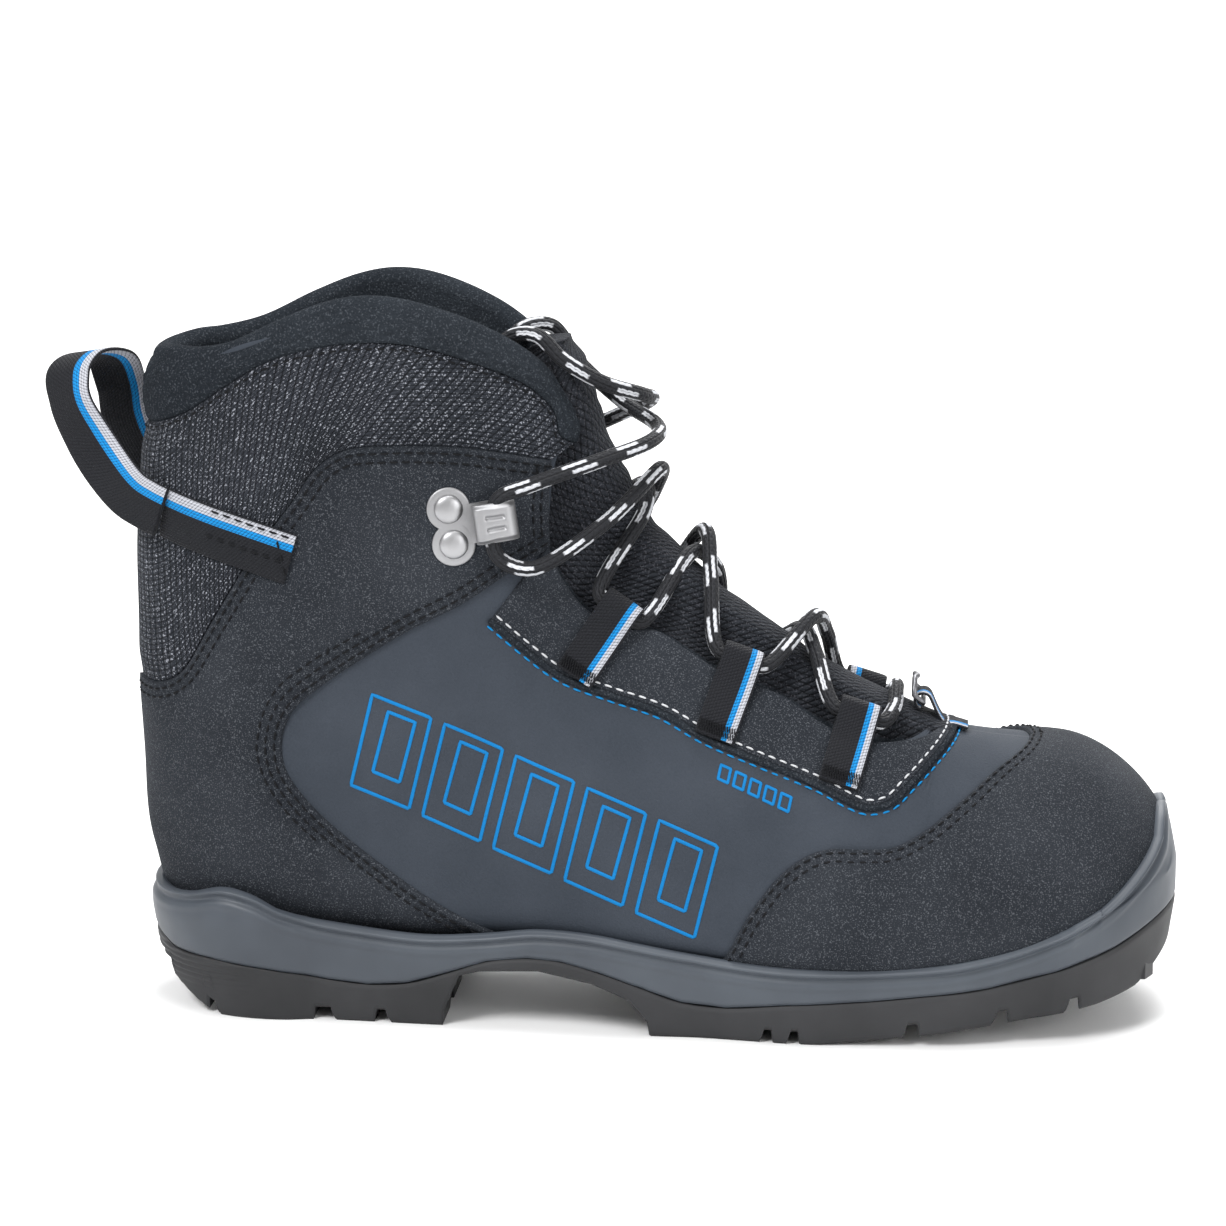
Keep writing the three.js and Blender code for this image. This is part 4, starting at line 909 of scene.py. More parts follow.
# ---------- the upper ----------
def column_top(t):
    """Collar seam as u at each share of the way from throat to heel."""
    low = on_skin(COLLAR_LOW)
    share = np.linspace(0, 1, len(low))
    return np.interp(t, share, low[:, 0]) + 0.12


def make_upper():
    """Softshell skin: turn runs from the throat line, or the crown ahead of it, to the heel line."""
    throat = on_skin(THROAT)
    order = np.argsort(throat[:, 0])
    u0 = throat[:, 0].min()
    f = spread(230, 0.3)
    build = Build()
    for side in (1, -1):
        t = spread(150, 0.5)
        u = NOSE_U + (column_top(t)[None] - NOSE_U) * f[:, None]
        front = np.where(u < u0, 0, np.interp(u, throat[order, 0], throat[order, 1]))
        turn = front + (0.5 - front) * t[None]
        ut = np.stack([u, side * turn], -1)
        base = surface(*parts(ut))
        uv = np.stack([base[..., 0], base[..., 2]], -1) / 1000
        crease = 0.35 * creases(base)
        outer = skin(*parts(ut), 0.1 + crease)
        inner = skin(*parts(ut), -0.75 + 0 * crease)
        if side > 0:
            closed_sheet(build, outer, inner, uv)
        else:
            closed_sheet(build, inner, outer, uv)
    build.make("softshell_upper", softshell(), replaces=["vamp_shell"])


def creases(p):
    """Shallow folds where the vamp bends, ridges running down and back from the throat."""
    x, z = p[..., 0], p[..., 2]
    s = x + 0.55 * z
    zone = bump(x, 42, 34) * bump(z, 66, 34)
    folds = zone * (1.3 * bump(s % 23, 9, 3.2) - 0.7 * bump(s % 23, 16, 4))
    return folds + 0.5 * bump(x, -60, 30) * bump(z, 70, 30) * np.sin((x + z) / 8)


def make_ankle_knit():
    ut = ruled(on_skin(OVERLAY_TOP, "back"), on_skin(COLLAR_LOW, "back"), 90)
    panel("ankle_knit", knit(), ut, 0.9, replaces=["ankle_knit_panel"], puff=0.9)


def half_overlay():
    """(u, turn) grid from the low edge to the outer edge, which runs along the top edge, down the
    heel's centre and forward along the sole; keyed so the two edges turn the corner together."""
    low = on_skin(OVERLAY_LOW, count=260)
    top = on_skin(OVERLAY_TOP, count=200)
    heel = np.stack([np.linspace(top[-1, 0], 7.15, 80), np.full(80, 0.5)], 1)
    sole = on_skin(smooth_line([[-144, 27], [-120, 25.5], [-90, 24.6], [-62, 23.6], [-38, 22.8]]), count=120)
    outer = np.concatenate([top, heel[1:], sole[1:]])
    s = lengths(surface(*parts(outer)))
    top_end = s[len(top) - 1]
    keys_outer = [0, top_end * 0.5, top_end, s[len(top) + 78], s[-1]]
    keys_low = np.array([0, 0.36, 0.47, 0.66, 1.0]) * (len(low) - 1)
    f = np.linspace(0, 1, 260)
    fifths = np.linspace(0, 1, 5)
    outer = sample(np.interp(f, fifths, keys_outer), s, outer)
    low = sample(np.interp(f, fifths, keys_low), np.arange(len(low)), low)
    return ruled(low, outer, 110)


def make_overlay():
    ut = half_overlay()
    build = Build()
    for side in (1, -1):
        grid = ut if side > 0 else ut * [1, -1] + [0, 1]
        base = surface(*parts(grid))
        across, along = lengths(base, 1), lengths(base)
        n = len(ut)
        on_top = (np.arange(n) < n * 0.5)[:, None]
        d = np.minimum(np.minimum(across, along), np.where(on_top, across[:, -1:] - across, 1e3))
        rise = np.sqrt(np.clip(1 - (1 - np.clip(d / 1.2, 0, 1)) ** 2, 0, 1))
        height = -0.3 + 1.9 * rise + 0.25 * ease((d - 5) / 8) - 0.3 * bump(d, 3.4, 2.2)
        outer = skin(*parts(grid), height)
        inner = skin(*parts(grid), -0.5 + 0 * height)
        uv = np.stack([base[..., 0], base[..., 2]], -1) / 1000
        closed_sheet(build, outer if side > 0 else inner, inner if side > 0 else outer, uv)
    build.make("heel_overlay", suede(), replaces=["heel_ankle_overlay"])


def make_toe_cap():
    edge = on_skin(TOE_CAP_EDGE, "crown", 420)
    nose = np.stack([np.full(len(edge), NOSE_U), edge[:, 1]], 1)
    ut = ruled(edge, nose, 120)
    panel("toe_cap_skin", suede(), ut, 1.5, replaces=["toe_cap"], free=(0, 0, 1, 0),
          puff=0.25)


def make_eyestays():
    throat = on_skin(smooth_line([[82, 86.2], [76, 84.6], [70, 84.3], [60, 85], [51, 88], [43, 92],
                                  [33, 98.5],
                                  [20, 103.5], [6, 112], [-2, 117], [-12, 118.5], [-22, 123], [-29, 131],
                                  [-34, 142]]))
    edge = on_skin(EYESTAY_EDGE[::-1])
    for name, side in (("lateral", 1), ("medial", -1)):
        ut = ruled(edge, throat, 70) * [1, side]
        panel(f"eyestay_{name}", suede(), ut, 1.35,
              replaces=["eyestay"] if side > 0 else (), puff=0.2)
        cord = inset(edge, 0.4) * [1, side]
        pts = skin(*parts(cord), 0.9)
        tube(f"eyestay_piping_{name}", fleece(), pts, 0.95, sides=10)


# ---------- tongue, collar ----------
def vertex_places(mesh):
    co = np.empty(len(mesh.vertices) * 3)
    mesh.vertices.foreach_get("co", co)
    return co.reshape(-1, 3)


def nearest(points, targets, count):
    """Numbers and distances of the targets nearest to each point, found a block at a time."""
    picks, gaps = [], []
    for block in np.array_split(points, len(points) // 1000 + 1):
        gap = np.linalg.norm(block[:, None] - targets, axis=-1)
        pick = np.argpartition(gap, count, axis=1)[:, :count]
        picks.append(pick)
        gaps.append(np.take_along_axis(gap, pick, axis=1))
    return np.concatenate(picks), np.concatenate(gaps)


def relax_padding(obj, voxel=0.005, pressure=4.0, frames=20, cap=0.0012):
    """Settles a padded piece with a short cloth run on a coarse copy, and moves the fine mesh by
    the smoothed movement found, never more than cap."""
    scene = bpy.context.scene
    proxy = bpy.data.objects.new(obj.name + "_proxy", obj.data.copy())
    scene.collection.objects.link(proxy)
    bpy.context.view_layer.objects.active = proxy
    remesh = proxy.modifiers.new("remesh", "REMESH")
    remesh.mode, remesh.voxel_size = "VOXEL", voxel
    bpy.ops.object.modifier_apply(modifier=remesh.name)
    before = vertex_places(proxy.data)
    cloth = proxy.modifiers.new("cloth", "CLOTH")
    cloth.settings.use_pressure = True
    cloth.settings.uniform_pressure_force = pressure
    cloth.settings.tension_stiffness = 25
    cloth.settings.compression_stiffness = 25
    cloth.settings.bending_stiffness = 1.5
    cloth.settings.effector_weights.gravity = 0
    cloth.point_cache.frame_start, cloth.point_cache.frame_end = 1, frames
    for f in range(1, frames + 1):
        scene.frame_set(f)
    shaped = proxy.evaluated_get(bpy.context.evaluated_depsgraph_get())
    move = vertex_places(shaped.data) - before
    scene.frame_set(1)
    move -= move.mean(axis=0)
    size = np.linalg.norm(move, axis=1, keepdims=True)
    move *= np.minimum(1, cap / np.maximum(size, 1e-9))
    own = vertex_places(obj.data)
    pick, gap = nearest(own, before, 5)
    weight = 1 / (gap + 1e-3)
    weight /= weight.sum(axis=1, keepdims=True)
    own += (move[pick] * weight[..., None]).sum(axis=1)
    obj.data.vertices.foreach_set("co", own.ravel())
    obj.data.update()
    bpy.data.objects.remove(proxy)


def make_tongue():
    """Padded tongue: columns are millimetres off the centre line, turned into turn by the arc
    sine; a crown in the middle, wings tucked under the eyestays, and a closed underside."""
    u = np.linspace(2.05, 10.8, 300)
    w = spread(90, 0.4) * 2 - 1
    tip = np.sqrt(np.clip(1 - ((u - 9.6) / 1.25).clip(0, 1) ** 2, 0, 1))
    reach = (21 + 4 * ease((u - 3) / 3)) * (0.45 + 0.55 * tip)
    y = w[None] * reach[:, None]
    row = section(u)
    sine = np.clip(np.abs(y) / row[:, 4:5], 0, 1) ** (row[:, 7:8] / 2)
    turn = -np.sign(y) * np.arcsin(sine) / (2 * np.pi)
    uu = np.broadcast_to(u[:, None], turn.shape)
    base = surface(uu, turn)
    crown = -5 + 7.6 * ease((19 - np.abs(y)) / 11)
    fold = 0.5 * np.sin(base[..., 2] / 3.1 + y / 9) * bump(np.abs(y), 0, 14) * ease((uu - 4) / 2)
    wrinkle = 0.7 * bump(base[..., 2] % 19, 9, 2.6) * bump(np.abs(y), 0, 15)
    top = ease((10.8 - uu) / 0.6)
    outer_off = crown + (fold - wrinkle) * top - 3.5 * (1 - top)
    outer = skin(uu, turn, outer_off)
    inner = skin(uu, turn, -7.6 + 0 * outer_off)
    along, across = lengths(base, 0), lengths(base, 1)
    uv = np.stack([along, across], -1) / 1000
    build = Build()
    closed_sheet(build, outer, inner, uv)
    tongue = build.make("tongue_pad", tongue_cloth(), replaces=["tongue"])
    relax_padding(tongue)


COLLAR_UP = 0.42  # share of the profile that climbs, and the share that goes down again


def make_collar():
    """Fleece collar: round a closed profile that climbs outside, rolls over the top, and goes down
    inside; its height above the seam follows the collar line."""
    low = on_skin(COLLAR_LOW, "back", 420)
    top = on_skin(COLLAR_TOP, "back", 420)
    t = np.linspace(0, 1, 72)
    over = np.clip((t - COLLAR_UP) / (1 - 2 * COLLAR_UP), 0, 1)
    climb = np.clip(np.minimum(t, 1 - t) / COLLAR_UP, 0, 1)
    lobe = 4.4 * np.sin(np.pi * over)
    inward = ease(over)
    grid = low[:, None] + (top - low)[:, None] * climb[None, :, None] * 0.94
    s = np.linspace(0, 1, len(low))[:, None]
    swell = np.sin(np.pi * np.clip(t / COLLAR_UP, 0, 1)) ** 0.6
    outer_off = 0.4 + (1.7 + 0.7 * bump(s, 0.5, 0.1)) * swell[None] * (t < 0.5)[None]
    off = outer_off * (1 - inward)[None] - 7.5 * inward[None]
    tuft = 0.35 * np.sin(s * 190) * np.sin(t * 40)[None] * swell[None]
    p = surface(*parts(grid)) + outward(*parts(grid)) * (off + tuft)[..., None]
    p[..., 2] += lobe[None] * np.ones_like(s)
    seam = lengths(surface(*parts(low)))[:, None]
    build = Build()
    build.rod(p, np.stack(np.broadcast_arrays(seam / 1000, np.linspace(0, 0.06, 73)), -1))
    collar = build.make("collar_pad", fleece(), replaces=["collar"])
    relax_padding(collar)


# ---------- stitches and side shapes ----------
def make_stitches():
    """Rows of thread along the seams, each a line on the skin and a height over it."""
    both = []
    for line, gaps, across in ((OVERLAY_TOP, (2.0, 4.6), "back"), (TOE_CAP_EDGE, (-1.3, -3.7), "crown")):
        ut = on_skin(line, across, 700)
        both += [(inset(ut, g), 1.55) for g in gaps]
    for side in (1, -1):
        ut = on_skin(OVERLAY_LOW, count=500) * [1, side]
        both += [(inset(ut, -g * side), 1.6) for g in (2.0, 4.6)]
        both.append((inset(ut[150:330], -7.2 * side), 1.75))
        ankle = on_skin(np.array([[-35.5, 165.0], [-36.5, 154], [-36, 144]])) * [1, side]
        both += [(ankle, 1.6), (inset(ankle, -2.4 * side), 1.6)]
    both.append((inset(on_skin(COLLAR_LOW, "back", 700), 1.6), 0.9))
    stitch_rows("black_stitches", black_thread(), both)
    edges = [(on_skin(EYESTAY_EDGE[::-1], count=500) * [1, side], side) for side in (1, -1)]
    for name, colour, gap, height, slot in (("white", (0.55, 0.56, 0.58), -1.9, 1.45, "overlay"),
                                            ("blue", BLUE, 2.1, 0.25, "softshell")):
        rows = [(inset(edge, gap * side), height) for edge, side in edges]
        stitch_rows(f"{name}_stitches", thread(f"{name} thread", colour), rows, length=2.5, gap=0.9,
                    radius=0.3)


def make_side_shapes():
    """Raised blue outlines of slanted lozenges on both quarters, with a row of small dashes."""
    build = Build()
    for side in (1, -1):
        for k in range(5):
            for shrink in (0.0, 4.6):
                x, z = -84 + k * 21.0 + shrink, 99.0 - k * 8.6 - shrink * 1.1
                w, h, lean = 17.0 - 2 * shrink, 27.0 - 2 * shrink, -6.5 + shrink * 0.4
                drop = z - w * 0.4
                corners = [[x, z], [x + w, drop], [x + w + lean, drop - h], [x + lean, z - h], [x, z]]
                build_outline(build, corners, side, 0.36)
        for k in range(5):
            x, z = 17.5 + k * 4.4, 80.5 - k * 1.9
            corners = [[x, z], [x + 2.8, z - 1.2], [x + 2.0, z - 5.0], [x - 0.8, z - 3.8], [x, z]]
            build_outline(build, corners, side, 0.3)
    build.make("side_shapes", thread("blue print", (0.004, 0.16, 0.42)))


def build_outline(build, corners, side, radius):
    """A flat ring of thread round some corners in side view, lying on the skin."""
    line = even(np.array(corners), 90)[:-1]
    ut = unwrap(line) * [1, side]
    centre = skin(*parts(ut), 0.2 + 0.35 * creases(surface(*parts(ut))))
    n = outward(*parts(ut))
    across = np.cross(n, unit(np.roll(centre, -1, axis=0) - np.roll(centre, 1, axis=0)))
    a = round_angles(8)[:, None]
    ring = across[:, None] * np.cos(a) * 1.5 + n[:, None] * np.sin(a) * 0.6
    p = centre[:, None] + ring * radius
    p = np.concatenate([p, p[:1]])
    build.grid(p, np.zeros((len(p), 9, 2)), wrap=True)


# ---------- sole ----------
SOLE_CENTRE = (TOE_TIP_X + HEEL_TIP_X) / 2
SOLE_REACH = (TOE_TIP_X - HEEL_TIP_X) / 2


def sole_half(x):
    """Half width of the sole's plan: a quarter ellipse at the toe, a super-ellipse of power 2.2 at
    the heel, and eased steps between the stations."""
    k = np.clip((x - TOE_START_X) / (TOE_LENGTH + RAND_T), 0, 1)
    toe = (STATIONS[0, 4] + RAND_T) * np.sqrt(1 - k * k) + 0.16 * (TOE_START_X - x) * (1 - k)
    j = np.clip((SOLE_HEEL_X - x) / SOLE_HEEL_R, 0, 1)
    heel_half = SOLE_HEEL_HALF + RAND_T - 1
    heel = heel_half * (1 - j**2.2) ** (1 / 2.2)
    xs = np.concatenate([[SOLE_HEEL_X], STATIONS[5::-1, 2]])
    hs = np.concatenate([[heel_half], STATIONS[5::-1, 4] + RAND_T])
    i = np.clip(np.searchsorted(xs, x) - 1, 0, len(xs) - 2)
    middle = hs[i] + (hs[i + 1] - hs[i]) * ease((x - xs[i]) / (xs[i + 1] - xs[i]))
    return np.where(x > TOE_START_X, toe, np.where(x < SOLE_HEEL_X, heel, middle))


def sole_mid(x):
    middle = np.interp(x, STATIONS[5::-1, 2], STATIONS[5::-1, 5])
    return np.where(x > TOE_START_X, TOE_MID_Y + (x - TOE_START_X) * TOE_SLANT, middle)


def sole_wall(angle, z):
    """Point on the sole's side: plan outline pulled in by up to 5 mm toward the ground."""
    pull = 5 * np.clip((34 - z) / 36, 0, 1)
    c, s = np.cos(angle), np.sin(angle)
    x0 = SOLE_CENTRE + SOLE_REACH * c
    half = np.maximum(sole_half(x0) - pull * np.minimum(1, np.abs(s) * 6), 0)
    x = SOLE_CENTRE + (SOLE_REACH - pull) * c
    return np.stack([x, sole_mid(x0) - np.sign(s) * half, z], axis=-1)


RAND_CUT_X = 122.6  # ahead of this the rand's top turns in over the toe
JOIN_REACH = 3.5  # columns this near the cut are bridged
SMOOTH_PASSES = 50
TOE_RAND_TOP = [[122.6, 37.6], [127, 40.4], [132, 44.5], [137, 49.3], [140, 52.8], [142.2, 56.6],
                [143.3, 60.4]]


def make_rand():
    """Rand: plan outline walls up to the widest line, then the upper's own skin at the toe, with a
    bead, a groove and a second ridge along the top, closed behind by a fold into the boot."""
    angle = round_angles(1000) + 1e-3
    angle = angle - 0.075 * np.sin(2 * angle)
    x0 = SOLE_CENTRE + SOLE_REACH * np.cos(angle)
    low = height_at(RAND_LOW, x0)
    line = smooth_line(RAND_TOP, 900)
    high = height_at(line[np.argsort(line[:, 0])], x0)
    side = np.where(np.sin(angle) >= 0, 1.0, -1.0)
    toe = x0 > RAND_CUT_X
    ahead = np.clip((x0 - TOE_START_X) / TOE_LENGTH, 0, 1)
    ub = np.where(x0 < TOE_START_X, 1 + (TOE_START_X - x0) / 31, np.arccos(ahead) * 2 / np.pi)
    ub = np.maximum(ub, NOSE_U)
    belly = surface(ub, np.full_like(ub, 0.25))[:, 2]
    share = np.clip((x0 - RAND_CUT_X) / (TOE_TIP_X - RAND_CUT_X), 0, 1)
    top_ut = unwrap(smooth_line(TOE_RAND_TOP, 300))
    top_ut[:, 1] *= np.clip(np.linspace(1, 0, 300) * 6.0, 0, 1)
    top_u, top_turn = sample(share**1.2, np.linspace(0, 1, 300), top_ut).T
    ridge_at = np.where(toe, belly, high)
    t = np.concatenate([np.linspace(0, 0.5, 26)[:-1], np.linspace(0.5, 1, 46)])
    z_wall = low[:, None] + (ridge_at - low)[:, None] * np.clip(t / np.where(toe, 0.5, 1)[:, None], 0, 1)
    wall = sole_wall(angle[:, None], z_wall)
    heel_pull = 3.2 * ease((z_wall - 28) / 10) * ease((-95 - x0) / 18)[:, None]
    inward = np.stack([-np.cos(angle), np.sin(angle), 0 * angle], -1)
    wall += inward[:, None] * heel_pull[..., None]
    f = np.clip((t - 0.5) / 0.5, 0, 1)[None]
    uu = ub[:, None] + (top_u - ub)[:, None] * f
    tt = (0.25 + (top_turn - 0.25)[:, None] * f) * side[:, None]
    cap = surface(uu, tt) + outward(uu, tt) * RAND_T
    fix = (wall[:, -1] - cap[:, 0])[:, None] * (1 - ease(f * 1.5))[..., None]
    p = np.where((toe[:, None] & (t >= 0.5)[None])[..., None], cap + fix, wall)
    for half in (angle < np.pi, angle >= np.pi):
        near = np.flatnonzero(half & (np.abs(x0 - RAND_CUT_X - 1) < JOIN_REACH))
        first, last = near[0] - 1, near[-1] + 1
        f = ease((near - first) / (last - first))[:, None, None]
        p[near] = p[first] * (1 - f) + p[last] * f
    for _ in range(SMOOTH_PASSES):
        p[:, 1:-1] = (p[:, :-2] + p[:, 2:]) / 4 + p[:, 1:-1] / 2
    n = grid_normals(np.concatenate([p[-1:], p, p[:1]]))[1:-1]
    away = p - np.array([0, 0, 30])
    away[..., 0] -= np.clip(p[..., 0], -115, 105)
    n *= np.sign((n * away).sum(-1, keepdims=True))
    run = lengths(p, 1)
    e = run[:, -1:] - run
    relief = (0.75 * bump(e, 1.0, 0.8) - 0.5 * bump(e, 2.9, 0.75) + 0.4 * bump(e, 5.0, 1.2)
              - 0.9 * bump(e, 0, 0.35) - 0.7 * bump(run, 0, 0.7))
    flow = 0.25 * bump((p[..., 0] - 1.4 * p[..., 2]) % 46, 20, 2.2) * bump(e, 12, 6) * bump(p[..., 0], 0, 50)
    p = p + n * (relief - flow)[..., None]
    edge, foot = p[:, -1], p[:, 0]
    turned_in = ((0.5, 0.15), (1.4, 0.1), (3.0, -0.5), (7.0, -2.5))
    lip = [edge - n[:, -1] * d + np.array([0, 0, h]) for d, h in turned_in]
    base = [foot - n[:, 0] * np.array([1, 1, 0]) * d for d in (7.0, 2.0)]
    p = np.concatenate([p, np.stack(lip + base, 1)], axis=1)
    p = np.concatenate([p, p[:1]])
    build = Build()
    build.grid(p, flat_uv(p, 2), wrap=True)
    rubber = rubber_material("rand rubber", (0.038, 0.045, 0.056), (0.056, 0.066, 0.08), 0.52, 0.05,
                             coat=0.06)
    build.make("rand", rubber, replaces=["midsole_rand"])


def flat_uv(rings, axis):
    """UV in metres straight from x and one other axis, with the first column repeated last."""
    uv = rings[..., [0, axis]] / 1000
    return np.concatenate([uv, uv[:, :1]], axis=1)


def lug_height(x):
    """Height of the notches between lugs, 0 on a lug and LUG_DEPTH between, with sloped sides."""
    rise = np.full(x.shape, LUG_DEPTH)
    for a, b in LUG_ENDS:
        rise = np.minimum(rise, LUG_DEPTH * (1 - ease(np.minimum(x - a, b - x) / 0.8 + 0.5)))
    return rise


def make_outsole():
    """Tread: rings carried toe to heel, each up one wall, over the top and across the bottom, where
    notches and the two guide grooves are cut as smooth steps."""
    angle = np.linspace(0.004, np.pi - 0.004, 700)
    x0 = SOLE_CENTRE + SOLE_REACH * np.cos(angle)
    tread = height_at(TREAD, x0)
    top = height_at(smooth_line(RAND_LOW, 900), x0) - 0.3
    foot = np.minimum(tread + lug_height(x0), top - 1.5)
    rows = np.linspace(0, 1, 42)
    z = foot[:, None] + (top - foot)[:, None] * rows
    halves = []
    for sign in (1, -1):
        heel = ease((-118 - x0) / 14)[:, None]
        back = 0.28 * np.sin(z / 1.75 * 2 * np.pi) * heel * bump(z, 14, 5)
        tall = (top - foot)[:, None]
        edge = -0.8 * bump(rows * tall, 0, 0.7) - 0.6 * bump((1 - rows) * tall, 0, 0.8)
        out = np.stack([np.cos(angle), -sign * np.sin(angle), 0 * angle], -1)
        halves.append(sole_wall(angle[:, None] * sign, z) + out[:, None] * (back + edge)[..., None])
    across = np.linspace(-1, 1, 70)[1:-1]
    a, b = halves[0][:, 0], halves[1][:, 0]
    y = (a[:, 1:2] + b[:, 1:2]) / 2 + (b[:, 1:2] - a[:, 1:2]) / 2 * across
    groove = 6 * ease((GUIDE_HALF + 0.4 - np.abs(np.abs(y) - GUIDE_Y)) / 0.8) * ease((118 - x0) / 3)[:, None]
    zb = np.maximum(foot[:, None], tread[:, None] + groove)
    zb = np.minimum(zb, (top - 1.2)[:, None])
    bottom = np.stack([np.broadcast_to(a[:, 0:1], y.shape), y, zb], -1)
    ring = np.concatenate([halves[0][:, ::-1], bottom, halves[1]], axis=1)
    build = Build()
    build.rod(ring, flat_uv(ring, 1))
    rubber = rubber_material("tread rubber", (0.014, 0.0145, 0.016), (0.026, 0.0265, 0.029), 0.6, 0.12)
    build.make("outsole_tread", rubber, replaces=["outsole"])


# ---------- webbing, hooks and strap ----------
# each loop: lace eye centre, its axis, and the foot in side view
LACE_LOOPS = {
    "lateral_1": ((-12.8, -26.7, 123.4), (-0.83, 0.12, 0.55), (-25.5, 104.5), 1),
    "lateral_2": ((22.3, -23.0, 108.6), (-0.94, -0.05, 0.34), (15.0, 87.5), 1),
    "lateral_3": ((56.3, -20.9, 92.7), (-0.95, -0.03, 0.3), (51.0, 74.5), 1),
    "medial_1": ((-12.8, 23.8, 123.5), (-0.83, -0.02, 0.55), (-25.5, 104.5), -1),
    "medial_2": ((22.5, 20.0, 108.6), (-0.94, 0.02, 0.34), (15.0, 87.5), -1),
    "medial_3": ((57.0, 20.8, 92.3), (-0.95, -0.06, 0.3), (51.0, 74.5), -1),
}
LOOP_WIDTH = 12.0
WEB_T = 1.1
EYE_R = LACE_D / 2 + 1.1
BLUE_FROM, GREY_FROM, STRIPE_END = 0.0080, 0.0096, 0.0113


def on_side(x, z, side, off=0.0):
    ut = unwrap(np.array([[x, z]])) * [1, side]
    return skin(*parts(ut), off)[0], outward(*parts(ut))[0]


WEB_FOOT = 1.45  # height over the skin at which a loop's webbing starts


def make_lace_loop(name):
    """Webbing from its foot up under the lace, round it and back down on itself."""
    eye, axis, (x, z), side = LACE_LOOPS[name]
    eye, axis = np.array(eye), unit(np.array(axis))
    base, n = on_side(x, z, side, WEB_FOOT)
    up = eye - base
    up = unit(up - axis * (up @ axis))
    out = np.cross(axis, up)
    out = out * np.sign(out @ n)
    rise = 0.62 * np.array([0, 0.34, 0.67, 1.0])
    skin_line = [on_side(x + (eye[0] - x) * k, z + (eye[2] - z) * k, side, WEB_FOOT) for k in rise]
    lower = [p + m * WEB_T / 2 for p, m in skin_line]
    higher = [p + m * (WEB_T * 1.5 + 0.15) for p, m in skin_line]
    turn = np.radians(np.linspace(-75, 75, 15))[:, None]
    arc = eye + (EYE_R + WEB_T / 2) * (np.cos(turn) * up + np.sin(turn) * out)
    path = smooth_line(np.concatenate([lower, arc, higher[::-1]]), 160)
    normal = np.cross(unit(np.gradient(path, axis=0)), axis)
    web = webbing_material("loop webbing", BLUE_FROM, GREY_FROM, STRIPE_END)
    ribbon(f"lace_loop_web_{name}", web, path, normal * np.sign(normal[:5].mean(0) @ n), LOOP_WIDTH, WEB_T,
           replaces=[f"lace_loop_{name}"])


def make_loop_tacks():
    """Close zigzag of thread across the foot of every loop."""
    build = Build()
    x = np.linspace(-0.5, 0.5, 5)[:, None]
    a = round_angles(6)[:, None]
    k = (np.arange(15) - 7)[:, None]
    for eye, _, foot, side in LACE_LOOPS.values():
        base, n = on_side(*foot, side, WEB_FOOT)
        up = unit(eye - base - n * ((eye - base) @ n))
        wide = np.cross(n, up)
        along = unit(up + wide * 0.35)
        ring = np.cos(a) * wide + np.sin(a) * n
        for row in (1.6, 3.4):
            centre = base + n * (2 * WEB_T + 0.45) + wide * (k * 0.74) + up * row
            line = centre[:, None] + along * (x * 1.7) + n * (0.18 * np.cos(np.pi * x))
            beads(build, line[:, :, None] + ring * 0.2)
    build.make("loop_tacks", black_thread(), weld=0)


HOOK_X, HOOK_Z = -61.2, 148.5
DISC_R = 6.3
DISC_APART = 5.2
PLATE_T = 0.84


